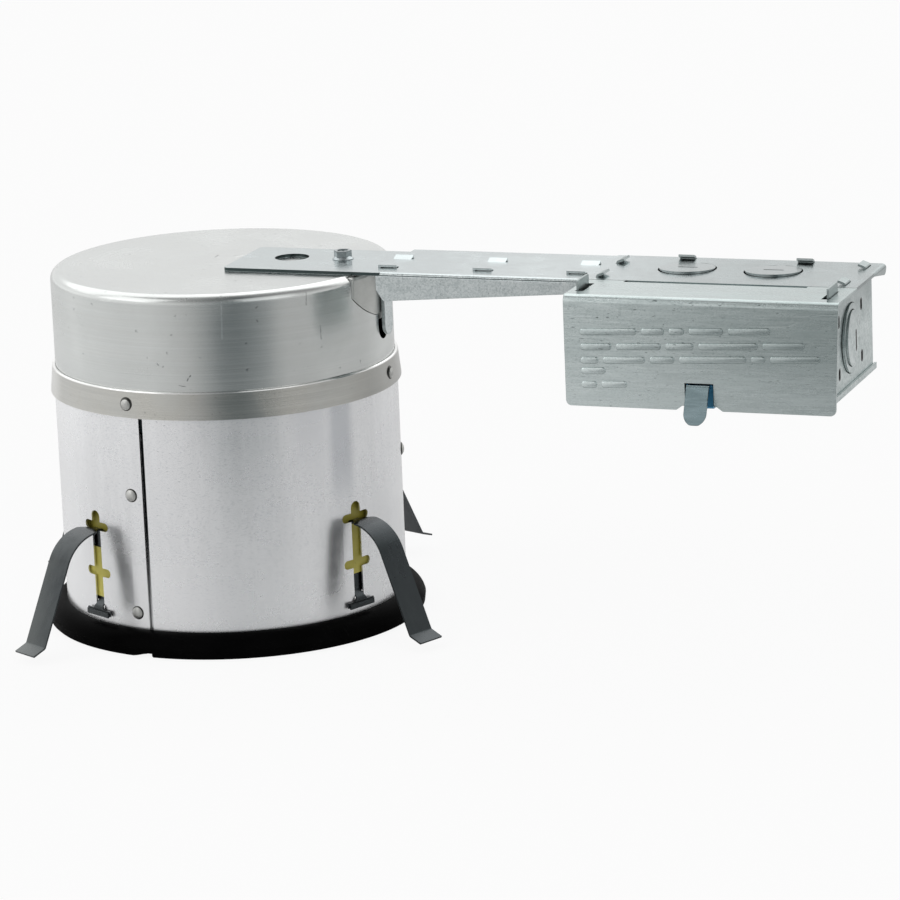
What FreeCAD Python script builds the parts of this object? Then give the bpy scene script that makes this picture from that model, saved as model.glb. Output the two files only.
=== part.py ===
import FreeCAD, Part
import math
import os

# Recessed light housing for an existing ceiling, in millimetres.
# +Z is up, +X runs along the arm to the junction box, +Y is away from the box cover.
# The origin is on the can's axis, on the underside of the black flange ring.

# Can sheet metal
shell_radius = 78.0
shell_wall = 0.8
cap_wall = 0.8
cap_gap = 0.1
cap_lap = 18.0
cap_shoulder = 4.2
can_height = 162.85
cap_rise = 43.95
seam_angle = -97.2
seam_gap = 2.0
seam_lap = 15.0
seam_depth = 0.5

# Joint band
band_height = 12.3
band_wall = 0.5
band_rise = 1.0
band_lip_gap = 0.15
band_lip_round = 0.6
band_flare = 1.15
band_rivet_angles = [1.0, 90.0, 180.0, -101.7]

# Black flange ring
ring_overhang = 8.6
ring_rim = 4.2
ring_skirt = 10.4
ring_floor = 2.6
ring_lip = 2.5
ring_split_gap = 2.4
ring_split_lift = 2.0
ring_split_height = 2.4

# Rivets
rivet_head_radius = 3.1
rivet_head_height = 1.4
rivet_shank_radius = 1.6
rivet_tail_radius = 2.4
rivet_tail_height = 0.7
rivet_hole_gap = 0.05
seam_rivet_angle = -102.3
rivet_low_height = 17.7
rivet_high_drop = 47.2
side_rivet_angle = 20.7
side_rivet_from_clip = 35.0

# Clip slots
clip_angles = {"front_left": -119.5, "front_right": -23.0, "back_right": 67.0, "back_left": 157.0}
slot_width = 5.8
slot_foot = 13.6
slot_head = 61.7
cross_width = 16.4
cross_height = 4.0
upper_cross = 54.6
lower_cross = 33.3

# Spring clips
strip_thickness = 0.8
strip_width = 13.9
strip_inner_width = 10.0
neck_width = 5.0
neck_length = 0.8
neck_taper = 4.5
neck_rise = 3.9
neck_slope = 3.0
neck_exit_drop = 1.9
arch_leave_drop = 0.7
tee_width = 16.2
tee_height = 2.4
tee_foot = 13.7
tee_hem_step = 0.5
clip_wall_gap = 0.35
arch_reach = 15.0
arch_rise = 56.3
arch_radius = 19.3
foot_reach = 36.8
foot_height = 6.7
foot_length = 6.3
foot_drop = 2.5
clip_spring_out = {"front_left": 0.0, "front_right": 0.0, "back_right": 4.2, "back_left": 0.0}

# Yellow tape on the clips and behind the slots' upper ends
tape_thickness = 0.4
tape_wall_gap = 0.5
tape_height = 22.9
tape_width = 19.0
tape_foot = {"front_left": 21.4, "front_right": 28.2, "back_right": 25.0, "back_left": 23.5}
seal_foot = 51.2
seal_top = 66.0
seal_half_width = 10.5
seal_wing = 3.5
seal_leg_gap = 0.4

# Wire port in the cap, keyhole under it, and what fills them
port_half_width = 25.7
port_sill_drop = 21.05
port_shoulder_drop = 9.85
port_sill_half_width = 7.1
port_inner_inset = 1.8
keyhole_half_width = 6.0
keyhole_drop = 33.45
keyhole_side = 1.2
port_cover_gap = 0.4
port_cover_wall = 1.4
port_cover_lap = 3.0
port_cover_top_gap = 0.65
port_cover_round = 1.6
port_cover_bulge = 0.3
grommet_hole_radius = 5.4
grommet_angle = 11.6
grommet_drop = 10.25
grommet_lip = 2.0
grommet_wall = 1.3
hook_width = 9.8
hook_side = 2.2
hook_drop = 31.65
hook_thickness = 1.5
hook_flange = 22.0
hook_gap = 0.5

# Arm plate
plate_thickness = 1.5
plate_start = 10.0
plate_front = -21.6
plate_back_near = 24.7
plate_back_far = 31.4
plate_step = 83.5
plate_end = 301.5
flange_start = 82.8
flange_depth_near = 12.8
flange_depth_far = 6.2
flange_corner_rise = 5.0
flange_corner_run = 3.2
plate_bend = 1.1
peephole_x = 33.0
peephole_y = 5.0
peephole_radius = 7.75
screw_inset = 19.5
screw_y = 5.0
lance_x = [85.0, 129.5, 173.0]
lance_mouth_y = [-11.1, 12.1]
lance_length = 8.6
lance_width = 3.0
lance_rise = 1.3
lance_cheek = 0.8
knockout_x = [218.0, 257.0]
knockout_y = 7.8
knockout_radius = 13.0
knockout_cut = 0.6
knockout_tie = 4.0
knockout_lift = 1.2
pry_slot_length = 9.0
pry_slot_width = 1.2
pry_slot_offset = 0.5
lip_start = 10.5
lip_depth = 4.4
lip_corner = 3.4
lip_bend = 1.0

# Plate screw
screw_flats = 7.0
screw_head_height = 4.0
screw_turn = 12.0
screw_dish_radius = 2.4
screw_dish_depth = 0.5
screw_washer_radius = 4.8
screw_washer_height = 1.4
screw_washer_rim = 0.3
screw_shank_radius = 2.0
screw_length = 9.0
screw_hole_gap = 0.1

# Junction box
box_wall = 1.0
box_left = 183.5
box_right = 295.7
box_back = 29.8
box_front = -51.4
box_depth = 45.65
box_bend = 1.8
box_flange = 3.2
tab_width = 8.4
back_tab_width = 7.2
tab_gap = 0.3
tab_fold = 3.2
tab_rise = 0.65
tab_angle = 20.0
left_tab_y = [-11.5, 18.0]
right_tab_y = [-12.0, 22.5]
back_tab_x = [212.0, 266.0]
ear_front = -43.4
ear_back = -29.0
ear_height = 4.4
ear_corner = 0.7
side_knockout_y = -9.3
side_knockout_outer = 15.5
side_knockout_inner = 12.5
side_ring_tip = 2.4
side_disc_tip = 2.2
side_cut = 0.35
side_tie = 2.5
side_slot_offset = 7.3
side_slot_drop = 2.6
side_hole_y = [-28.6, 9.2]
side_hole_shift = [-12.0, 11.0]
side_hole_width = 1.7
side_hole_length = 4.4

# Box cover
cover_thickness = 1.2
cover_left = 180.3
cover_right = 302.0
cover_lean = 1.8
cover_face = -53.0
cover_overhang = 1.5
cover_bend = 2.4
cover_corner = 2.5
cover_hinge_gap = 0.5
cover_side_gap = 0.4
cover_plate_edge = -20.1
tongue_left = 198.8
tongue_right = 280.0
tongue_reach = 3.6
tongue_drop = 0.35
groove_width = 2.0
ear_slot_gap = 0.4
ear_slot_inside = 2.2
notch_half_width = 6.4
notch_rise = 10.4
notch_flare_foot = 10.3
notch_flare_rise = 2.8

# Cover latch
latch_x = 240.2
latch_thickness = 0.7
latch_tongue_width = 10.1
latch_leg_width = 11.2
latch_gap = 0.35
latch_tongue_y = -55.0
latch_tip_drop = 5.9
latch_flare = 7.0
latch_pivot_y = -47.6
latch_foot_reach = 5.6
latch_rivet_radius = 1.5
latch_rivet_head = 1.9

# Lampholder and its height adjustment
strap_width = 22.0
strap_thickness = 1.2
strap_y = 36.4
strap_drop = 74.85
strap_flange = 20.0
strap_slot_width = 5.4
strap_slot_drop = 64.85
strap_slot_length = 53.0
carrier_drop = 34.85
carrier_thickness = 1.2
carrier_radius = 31.0
carrier_tab_rise = 18.0
carrier_gap = 0.2
bolt_rise = 10.0
bolt_radius = 2.4
bolt_head_radius = 4.6
bolt_head_height = 2.2
bolt_length = 14.0
wing_span = 16.4
wing_height = 6.0
wing_thickness = 1.8
wing_hub_radius = 4.4
wing_hub_length = 5.0
holder_mouth_drop = 29.5
holder_radius = 19.0
holder_flange_radius = 23.0
holder_flange_height = 5.0
holder_neck_radius = 14.8
holder_top_rise = 20.0
holder_bore_radius = 14.4
holder_bore_depth = 25.0
socket_screw_spacing = 19.5
socket_screw_radius = 1.6
socket_screw_head_radius = 3.0
socket_screw_head_height = 1.8
socket_screw_slot = 1.0
socket_screw_length = 6.0
socket_screw_hole = 8.0
screw_shell_radius = 13.9
screw_shell_wall = 0.4
thread_pitch = 3.63
thread_depth = 0.7
thread_turns = 5
contact_width = 6.0
contact_thickness = 0.5

# Heat limiter, trim brackets and earth screw
limiter_x = -34.0
limiter_y = -18.0
limiter_radius = 8.0
limiter_height = 9.5
limiter_flange_length = 30.0
limiter_flange_width = 12.0
limiter_flange_height = 0.8
limiter_neck_step = 1.5
limiter_neck_height = 3.0
trim_bracket_width = 12.0
trim_bracket_height = 26.0
trim_bracket_reach = 9.0
trim_bracket_thickness = 1.0
ground_x = 270.0
ground_y = 0.0
ground_head_radius = 4.0
ground_head_height = 2.6
ground_shank_radius = 2.0

# Places that follow from the sizes above
shell_top = can_height - cap_rise
ring_radius = shell_radius + ring_overhang
ring_mouth_radius = shell_radius - ring_lip
rivet_high_height = shell_top - rivet_high_drop
port_sill = can_height - port_sill_drop
port_shoulder = can_height - port_shoulder_drop
port_cover_top = can_height - port_cover_top_gap
keyhole_foot = can_height - keyhole_drop
grommet_height = can_height - grommet_drop
hook_foot = can_height - hook_drop
box_foot = can_height - box_depth
side_knockout_z = can_height - box_depth / 2
side_hole_z = [side_knockout_z + shift for shift in side_hole_shift]
cover_foot = box_foot - cover_overhang
notch_top = box_foot + notch_rise
latch_tip = box_foot - latch_tip_drop
strap_foot = can_height - strap_drop
strap_slot_foot = can_height - strap_slot_drop
strap_slot_top = strap_slot_foot + strap_slot_length
carrier_height = can_height - carrier_drop
carrier_tab_top = carrier_height + carrier_tab_rise
bolt_height = carrier_height + bolt_rise
holder_mouth = carrier_height - holder_mouth_drop
holder_top = carrier_height + holder_top_rise
shell_inner = shell_radius - shell_wall
cap_radius = shell_inner - cap_gap
cap_inner = cap_radius - cap_wall
cap_foot = shell_top - cap_lap
port_inner_reach = cap_inner - port_inner_inset
screw_x = cap_radius - screw_inset
port_rim_reach = port_half_width + port_cover_lap + 2
band_top = shell_top + band_rise
band_foot = band_top - band_height
plate_foot = can_height
plate_top = can_height + plate_thickness
knockout_hinge_y = knockout_y + knockout_radius
inner_ceiling = can_height - cap_wall
side_rivet_angles = [side_rivet_angle, clip_angles["back_left"] + side_rivet_from_clip]
rivet_slope = math.degrees(math.atan2(band_flare, band_height))
tape_outer = shell_inner - tape_wall_gap
tape_inner = tape_outer - tape_thickness
leg_middle = math.sqrt(tape_inner ** 2 - (strip_inner_width / 2) ** 2) - strip_thickness / 2
flange_end = cover_left - cover_side_gap
latch_leg_y = box_front + latch_gap * 2
latch_foot = box_foot - latch_gap - latch_thickness / 2


def point(x, y, z):
    return FreeCAD.Vector(x, y, z)


def axis_turn(shape, degrees):
    turned = shape.copy()
    turned.rotate(point(0, 0, 0), point(0, 0, 1), degrees)
    return turned


def block(x0, x1, y0, y1, z0, z1):
    return Part.makeBox(x1 - x0, y1 - y0, z1 - z0, point(x0, y0, z0))


def fuse_all(shapes):
    joined = shapes[0].multiFuse(shapes[1:])
    return joined.removeSplitter()


def cut_all(shape, tools):
    return shape.cut(Part.makeCompound(tools))


def revolve_profile(corners):
    """Solid of revolution about Z from (radius, height) corners."""
    outline = Part.makePolygon([point(r, 0, z) for r, z in corners + corners[:1]])
    return Part.Face(outline).revolve(point(0, 0, 0), point(0, 0, 1), 360)


def tube(inner, outer, low, high):
    wall = Part.makeCylinder(outer, high - low, point(0, 0, low))
    return wall.cut(Part.makeCylinder(inner, high - low, point(0, 0, low)))


def strip_outline(corners, radii, thickness):
    """Closed outline of a folded strip. Corners run along its middle, each inner one with a bend radius."""
    straight = []
    bends = []
    start = FreeCAD.Vector(*corners[0], 0)
    for index in range(1, len(corners)):
        corner = FreeCAD.Vector(*corners[index], 0)
        along = (corner - start).normalize()
        if index == len(corners) - 1:
            straight.append((start, corner, along))
            break
        after = (FreeCAD.Vector(*corners[index + 1], 0) - corner).normalize()
        turn = along.getAngle(after)
        reach = radii[index - 1] * math.tan(turn / 2)
        side = 1 if along.cross(after).z > 0 else -1
        bend_start = corner - along * reach
        bend_end = corner + after * reach
        straight.append((start, bend_start, along))
        left = FreeCAD.Vector(-along.y, along.x, 0)
        centre = bend_start + left * (side * radii[index - 1])
        middle = centre + (corner - centre).normalize() * radii[index - 1]
        bends.append((bend_start, middle, bend_end, centre))
        start = bend_end
    edges = []
    half = thickness / 2
    for shift in (half, -half):
        run = []
        for index, (low, high, along) in enumerate(straight):
            left = FreeCAD.Vector(-along.y, along.x, 0) * shift
            run.append(Part.LineSegment(low + left, high + left).toShape())
            if index < len(bends):
                bend_start, middle, bend_end, centre = bends[index]
                after = straight[index + 1][2]
                left_after = FreeCAD.Vector(-after.y, after.x, 0) * shift
                outward = (middle - centre).normalize()
                radius = (bend_start + left - centre).Length
                arc = Part.Arc(bend_start + left, centre + outward * radius, bend_end + left_after)
                run.append(arc.toShape())
        edges.append(run)
    caps = []
    for low, high, along in (straight[0], straight[-1]):
        end = low if not caps else high
        left = FreeCAD.Vector(-along.y, along.x, 0) * half
        caps.append(Part.LineSegment(end + left, end - left).toShape())
    outline = Part.Wire(Part.__sortEdges__(edges[0] + edges[1] + caps))
    return Part.Face(outline)


def stand_in_xz(shape):
    """Turns a face drawn in (x, z) as (x, y) up into the XZ plane."""
    stood = shape.copy()
    stood.rotate(point(0, 0, 0), point(1, 0, 0), 90)
    return stood


def stand_in_yz(shape):
    """Turns a face drawn in (y, z) as (x, y) up into the YZ plane."""
    stood = stand_in_xz(shape)
    stood.rotate(point(0, 0, 0), point(0, 0, 1), 90)
    return stood


def strip_across_y(corners, radii, thickness, y0, y1):
    """Folded strip drawn in (x, z) and run along Y."""
    face = stand_in_xz(strip_outline(corners, radii, thickness))
    face.translate(point(0, y0, 0))
    return face.extrude(point(0, y1 - y0, 0))


def strip_across_x(corners, radii, thickness, x0, x1):
    """Folded strip drawn in (y, z) and run along X."""
    face = stand_in_yz(strip_outline(corners, radii, thickness))
    face.translate(point(x0, 0, 0))
    return face.extrude(point(x1 - x0, 0, 0))


def polygon_across_x(corners, x0, x1):
    """Prism drawn in (y, z) and run along X."""
    outline = Part.makePolygon([point(x0, y, z) for y, z in corners + corners[:1]])
    return Part.Face(outline).extrude(point(x1 - x0, 0, 0))


def polygon_across_y(corners, y0, y1):
    """Prism drawn in (x, z) and run along Y."""
    outline = Part.makePolygon([point(x, y0, z) for x, z in corners + corners[:1]])
    return Part.Face(outline).extrude(point(0, y1 - y0, 0))


def polygon_upright(corners, z0, z1):
    """Prism drawn in (x, y) and run along Z."""
    outline = Part.makePolygon([point(x, y, z0) for x, y in corners + corners[:1]])
    return Part.Face(outline).extrude(point(0, 0, z1 - z0))


def round_bar_slot(x0, x1, y0, y1, z0, z1):
    """Slot that runs along Y with half-round ends, cut through along X."""
    radius = (z1 - z0) / 2
    middle = (z0 + z1) / 2
    depth = x1 - x0
    body = block(x0, x1, y0 + radius, y1 - radius, z0, z1)
    near = Part.makeCylinder(radius, depth, point(x0, y0 + radius, middle), point(1, 0, 0))
    far = Part.makeCylinder(radius, depth, point(x0, y1 - radius, middle), point(1, 0, 0))
    return fuse_all([body, near, far])


def upright_slot(x0, x1, y_centre, width, z0, z1):
    """Slot that runs along Z with half-round ends, cut through along X."""
    radius = width / 2
    depth = x1 - x0
    body = block(x0, x1, y_centre - radius, y_centre + radius, z0 + radius, z1 - radius)
    low = Part.makeCylinder(radius, depth, point(x0, y_centre, z0 + radius), point(1, 0, 0))
    high = Part.makeCylinder(radius, depth, point(x0, y_centre, z1 - radius), point(1, 0, 0))
    return fuse_all([body, low, high])


def curved_patch(inner, outer, half_width, low, high):
    """Piece of a cylinder wall on the +X side, as wide as the given half width each way."""
    return tube(inner, outer, low, high).common(block(0, outer, -half_width, half_width, low, high))


# Can body

def rivet_hole(angle, height, outer, slope=0.0):
    hole = Part.makeCylinder(rivet_shank_radius + rivet_hole_gap, 12, point(-8, 0, 0), point(1, 0, 0))
    return place_on_wall(hole, angle, height, outer, slope)


def place_on_wall(shape, angle, height, outer, slope=0.0):
    placed = shape.copy()
    placed.rotate(point(0, 0, 0), point(0, 1, 0), -slope)
    placed.translate(point(outer, 0, height))
    return axis_turn(placed, angle)


def wall_rivet(angle, height, outer, grip, slope=0.0):
    """Rivet with a domed head outside the wall and a flat tail inside."""
    dome_radius = (rivet_head_radius ** 2 + rivet_head_height ** 2) / (2 * rivet_head_height)
    head = Part.makeSphere(dome_radius, point(rivet_head_height - dome_radius, 0, 0))
    span = rivet_head_radius
    head = head.common(block(0, rivet_head_height, -span, span, -span, span))
    shank = Part.makeCylinder(rivet_shank_radius, grip, point(-grip, 0, 0), point(1, 0, 0))
    tail = Part.makeCylinder(
        rivet_tail_radius, rivet_tail_height, point(-grip - rivet_tail_height, 0, 0), point(1, 0, 0)
    )
    return place_on_wall(fuse_all([head, shank, tail]), angle, height, outer, slope)


def slot_cutter():
    low = shell_inner - 2
    high = shell_radius + 2
    stem = upright_slot(low, high, 0, slot_width, slot_foot, slot_head)
    upper = round_bar_slot(
        low, high, -cross_width / 2, cross_width / 2,
        upper_cross - cross_height / 2, upper_cross + cross_height / 2,
    )
    lower = round_bar_slot(
        low, high, -cross_width / 2, cross_width / 2,
        lower_cross - cross_height / 2, lower_cross + cross_height / 2,
    )
    return fuse_all([stem, upper, lower])


def sector(inner, outer, low, high, angle_from, angle_to):
    """Piece of a round wall between two angles."""
    span = angle_to - angle_from
    section = Part.makePolygon([
        point(inner, 0, low), point(outer, 0, low), point(outer, 0, high),
        point(inner, 0, high), point(inner, 0, low),
    ])
    piece = Part.Face(section).revolve(point(0, 0, 0), point(0, 0, 1), span)
    return axis_turn(piece, angle_from)


def degrees_of(length, radius):
    return math.degrees(length / radius)


def shell_sheet():
    """Rolled sheet: one end joggles inwards and runs on behind the other one."""
    gap_angle = degrees_of(seam_gap, shell_radius)
    near_end = seam_angle + gap_angle / 2
    far_end = seam_angle - gap_angle / 2 + 360
    sheet = sector(shell_inner, shell_radius, ring_floor, shell_top, near_end, far_end)
    tongue_outer = shell_inner - seam_depth
    tongue_inner = tongue_outer - shell_wall
    joggle = degrees_of(shell_wall, shell_radius)
    tongue_end = near_end - degrees_of(seam_lap, shell_radius)
    tongue_top = cap_foot - 1
    tongue = sector(tongue_inner, tongue_outer, ring_floor, tongue_top, tongue_end, near_end + joggle)
    web = sector(tongue_inner, shell_radius, ring_floor, tongue_top, near_end, near_end + joggle)
    return fuse_all([sheet, web, tongue])


def make_body_shell():
    cutters = [axis_turn(slot_cutter(), angle) for angle in clip_angles.values()]
    band_rivet_height = (band_top + band_foot) / 2
    for angle in band_rivet_angles:
        cutters.append(rivet_hole(angle, band_rivet_height, band_middle_radius(), rivet_slope))
    for height in (rivet_low_height, rivet_high_height):
        cutters.append(rivet_hole(seam_rivet_angle, height, shell_radius))
    for angle in side_rivet_angles:
        cutters.append(rivet_hole(angle, rivet_high_height, shell_radius))
    return cut_all(shell_sheet(), cutters)


def band_middle_radius():
    return shell_radius + 0.05 + band_flare / 2 + band_wall


def make_joint_band():
    top_inner = shell_radius + 0.05
    foot_inner = top_inner + band_flare
    lip = cap_radius + band_lip_gap
    top_outer = top_inner + band_wall
    band = revolve_profile([
        (foot_inner, band_foot), (foot_inner + band_wall, band_foot),
        (top_outer, band_top - band_lip_round),
        (top_outer - band_lip_round * 0.3, band_top - band_lip_round * 0.3),
        (top_outer - band_lip_round, band_top), (lip, band_top),
        (lip, band_top - band_wall), (top_inner, band_top - band_wall),
    ])
    band_rivet_height = (band_top + band_foot) / 2
    holes = [
        rivet_hole(angle, band_rivet_height, band_middle_radius(), rivet_slope)
        for angle in band_rivet_angles
    ]
    return cut_all(band, holes)


def make_band_rivets():
    height = (band_top + band_foot) / 2
    outer = band_middle_radius()
    grip = outer - cap_inner + 0.2
    return Part.makeCompound([
        wall_rivet(angle, height, outer, grip, rivet_slope) for angle in band_rivet_angles
    ])


def make_seam_rivets():
    grip = shell_wall * 2 + seam_depth + rivet_hole_gap
    return Part.makeCompound([
        wall_rivet(seam_rivet_angle, height, shell_radius, grip)
        for height in (rivet_low_height, rivet_high_height)
    ])


def make_bracket_rivets():
    grip = shell_wall + trim_bracket_thickness + 0.35
    return Part.makeCompound([
        wall_rivet(angle, rivet_high_height, shell_radius, grip)
        for angle in side_rivet_angles
    ])


def port_outline(gap):
    """Outline of the wire port in (y, z), drawn smaller by the gap all round."""
    half = port_half_width - gap
    sill_half = port_sill_half_width
    sill = port_sill + gap
    shoulder = port_shoulder
    top = can_height + 5
    lean = (half + sill_half) / 2 - gap / 2
    sag = (sill + shoulder) / 2 - 1.0
    edges = [
        Part.LineSegment(point(0, -half, top), point(0, -half, shoulder)),
        Part.Arc(point(0, -half, shoulder), point(0, -lean - 1.2, sag), point(0, -sill_half, sill)),
        Part.LineSegment(point(0, -sill_half, sill), point(0, sill_half, sill)),
        Part.Arc(point(0, sill_half, sill), point(0, lean + 1.2, sag), point(0, half, shoulder)),
        Part.LineSegment(point(0, half, shoulder), point(0, half, top)),
        Part.LineSegment(point(0, half, top), point(0, -half, top)),
    ]
    return Part.Face(Part.Wire([edge.toShape() for edge in edges]))


def port_prism(gap, top):
    prism = port_outline(gap).extrude(point(cap_radius + 10, 0, 0))
    return prism.common(block(0, cap_radius + 10, -port_rim_reach, port_rim_reach, port_sill - 10, top))


def make_can_cap():
    outside = Part.makeCylinder(cap_radius, can_height - cap_foot, point(0, 0, cap_foot))
    rim = [edge for edge in outside.Edges if edge.BoundBox.ZMin > can_height - 0.1]
    outside = outside.makeFillet(cap_shoulder, rim)
    inside = Part.makeCylinder(cap_inner, inner_ceiling - cap_foot, point(0, 0, cap_foot))
    rim = [edge for edge in inside.Edges if edge.BoundBox.ZMin > inner_ceiling - 0.1]
    inside = inside.makeFillet(cap_shoulder - cap_wall, rim)
    cup = outside.cut(inside)
    band_rivet_height = (band_top + band_foot) / 2
    keyhole = upright_slot(
        0, cap_radius + 5, keyhole_side, keyhole_half_width * 2,
        keyhole_foot, port_sill + keyhole_half_width * 2,
    )
    port = port_prism(0, can_height + 1).cut(Part.makeCylinder(port_inner_reach, can_height + 2))
    cutters = [port, keyhole, screw_hole()]
    for angle in band_rivet_angles:
        cutters.append(rivet_hole(angle, band_rivet_height, band_middle_radius(), rivet_slope))
    return cut_all(cup, cutters)


def make_port_cover():
    """Pressed cover: a face that fills the port up to the arm and a wider rim behind the wall."""
    face = port_prism(port_cover_gap, port_cover_top)
    outer = cap_radius + port_cover_bulge
    face_body = Part.makeCylinder(outer, can_height, point(0, 0, 0))
    front = face.common(face_body)
    rounded = [
        edge for edge in front.Edges
        if edge.BoundBox.XMin > cap_inner * 0.8 and edge.BoundBox.ZMin > port_sill + 1
        and (edge.BoundBox.ZLength < 0.01 or edge.BoundBox.YLength < 0.01)
    ]
    front = front.makeFillet(port_cover_round, rounded)
    front = front.cut(Part.makeCylinder(cap_inner - port_cover_wall, can_height, point(0, 0, 0)))
    rim = port_outline(-port_cover_lap).extrude(point(cap_radius, 0, 0))
    rim_top = inner_ceiling - cap_shoulder
    rim = rim.common(block(
        0, cap_radius, -port_rim_reach, port_rim_reach, port_sill - port_cover_lap, rim_top
    ))
    rim_wall = tube(cap_inner - port_cover_wall, cap_inner - 0.05, port_sill - 5, can_height)
    back = rim.common(rim_wall)
    hole = Part.makeCylinder(
        grommet_hole_radius, port_half_width, point(cap_inner - port_half_width / 2, 0, grommet_height),
        point(1, 0, 0),
    )
    return cut_all(fuse_all([front, back]), [axis_turn(hole, grommet_angle)])


def make_wire_grommet():
    """Rubber grommet in the port cover, open for the leads of the junction box."""
    low = cap_inner - port_cover_wall - 1.6
    high = cap_radius + 1.4
    sleeve = Part.makeCylinder(
        grommet_hole_radius - 0.05, high - low, point(low, 0, grommet_height), point(1, 0, 0)
    )
    lip_outer = grommet_hole_radius + grommet_lip
    inner_lip = Part.makeCylinder(lip_outer, 1.2, point(low, 0, grommet_height), point(1, 0, 0))
    outer_lip = Part.makeCylinder(lip_outer - 0.6, 1.0, point(high - 1.0, 0, grommet_height), point(1, 0, 0))
    bore = Part.makeCylinder(
        grommet_hole_radius - grommet_wall, high - low, point(low, 0, grommet_height), point(1, 0, 0)
    )
    return axis_turn(fuse_all([sleeve, inner_lip, outer_lip]).cut(bore), grommet_angle)


def make_flange_ring():
    """Black ring with an L section: a floor under the shell and a skirt that flares to the rim."""
    sleeve = shell_radius + 0.05
    edges = [
        Part.LineSegment(point(sleeve, 0, ring_floor), point(sleeve, 0, ring_skirt)),
        Part.Arc(
            point(sleeve, 0, ring_skirt),
            point((sleeve + ring_radius) / 2 + 1.6, 0, (ring_skirt + ring_rim) / 2 + 1.2),
            point(ring_radius, 0, ring_rim),
        ),
        Part.LineSegment(point(ring_radius, 0, ring_rim), point(ring_radius - 0.4, 0, 0.9)),
        Part.LineSegment(point(ring_radius - 0.4, 0, 0.9), point(ring_radius - 1.3, 0, 0)),
        Part.LineSegment(point(ring_radius - 1.3, 0, 0), point(ring_mouth_radius, 0, 0)),
        Part.LineSegment(point(ring_mouth_radius, 0, 0), point(ring_mouth_radius, 0, ring_floor)),
        Part.LineSegment(point(ring_mouth_radius, 0, ring_floor), point(sleeve, 0, ring_floor)),
    ]
    section = Part.Face(Part.Wire([edge.toShape() for edge in edges]))
    ring = section.revolve(point(0, 0, 0), point(0, 0, 1), 360)
    split_middle = seam_angle + 2.0
    split = block(
        shell_radius + 2.4, ring_radius + 2, -ring_split_gap / 2, ring_split_gap / 2, -1, ring_split_height
    )
    curl_length = 9.0
    curl = polygon_across_x(
        [(0, -1), (0, ring_split_lift), (-curl_length * 0.3, ring_split_lift * 0.8),
         (-curl_length, 0), (-curl_length, -1)],
        shell_radius + 2.4, ring_radius + 2,
    )
    return cut_all(ring, [axis_turn(split, split_middle), axis_turn(curl, split_middle)])


# Spring clips and the tape behind their slots

def clip_leg_corners(spring_out):
    """Middle line of the clip outside the wall, swung out about the point where it leaves the slot."""
    leave_x = shell_radius
    leave_z = upper_cross - arch_leave_drop
    swing = math.radians(spring_out)
    corners = []
    reach = shell_radius
    for x, z in (
        (reach + arch_reach, arch_rise),
        (reach + foot_reach, foot_height),
        (reach + foot_reach + foot_length, foot_height - foot_drop),
    ):
        dx = x - leave_x
        dz = z - leave_z
        corners.append((
            leave_x + dx * math.cos(swing) - dz * math.sin(swing),
            leave_z + dx * math.sin(swing) + dz * math.cos(swing),
        ))
    return corners


def make_clip(angle, spring_out):
    """Sprung strip: tee outside the wall, neck, inner leg, neck out again, arch, leg and foot."""
    outside = shell_radius + clip_wall_gap + strip_thickness / 2
    inside = leg_middle
    entry = slot_foot + neck_rise
    corners = [
        (outside, tee_foot), (outside, entry), (inside, entry + neck_slope),
        (inside, upper_cross - neck_exit_drop),
    ]
    corners += clip_leg_corners(spring_out)
    strip = strip_across_y(
        corners, [1.0, 1.0, 1.4, arch_radius, 1.6], strip_thickness, -strip_width / 2, strip_width / 2
    )
    half = strip_width / 2 + 1
    neck_half = neck_width / 2
    neck_end = shell_radius + neck_length
    taper_end = neck_end + neck_taper
    side_cutters = []
    for side in (1, -1):
        arch_side = [
            (inside + 0.9, side * neck_half), (neck_end, side * neck_half),
            (taper_end, side * strip_width / 2), (taper_end, side * half), (inside + 0.9, side * half),
        ]
        side_cutters.append(polygon_upright(arch_side, entry + 8, slot_head + 10))
        inner_side = block(
            inside - 2, inside + 0.9, min(side * strip_inner_width / 2, side * half),
            max(side * strip_inner_width / 2, side * half), entry - 2, slot_head,
        )
        side_cutters.append(inner_side)
        bend_side = block(
            inside - 2, inside + 0.9, min(side * neck_half, side * half),
            max(side * neck_half, side * half), upper_cross - 2.4, slot_head,
        )
        side_cutters.append(bend_side)
        entry_side = block(
            inside + 0.5, outside - strip_thickness / 2 - 0.1, min(side * neck_half, side * half),
            max(side * neck_half, side * half), entry - 6, entry + 5,
        )
        side_cutters.append(entry_side)
        stem_side = polygon_across_x([
            (side * neck_half, entry + 6), (side * neck_half, entry + 0.6),
            (side * (neck_half + 1.3), tee_foot + tee_height), (side * half, tee_foot + tee_height),
            (side * half, entry + 6),
        ], outside - strip_thickness / 2 - 0.1, outside + 1)
        side_cutters.append(stem_side)
    strip = cut_all(strip, side_cutters)
    tee_inner = outside - strip_thickness / 2
    tee = block(
        tee_inner, tee_inner + strip_thickness, -tee_width / 2, tee_width / 2,
        tee_foot, tee_foot + tee_height,
    )
    hem = block(
        tee_inner + strip_thickness, tee_inner + strip_thickness * 2, -tee_width / 2 + tee_hem_step,
        tee_width / 2 - tee_hem_step, tee_foot - tee_hem_step, tee_foot + tee_height - tee_hem_step,
    )
    return axis_turn(fuse_all([strip, tee, hem]), angle)


def make_tape(angle, foot):
    """Tape stuck to the wall side of a clip's inner leg."""
    return axis_turn(curved_patch(tape_inner, tape_outer, tape_width / 2, foot, foot + tape_height), angle)


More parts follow.
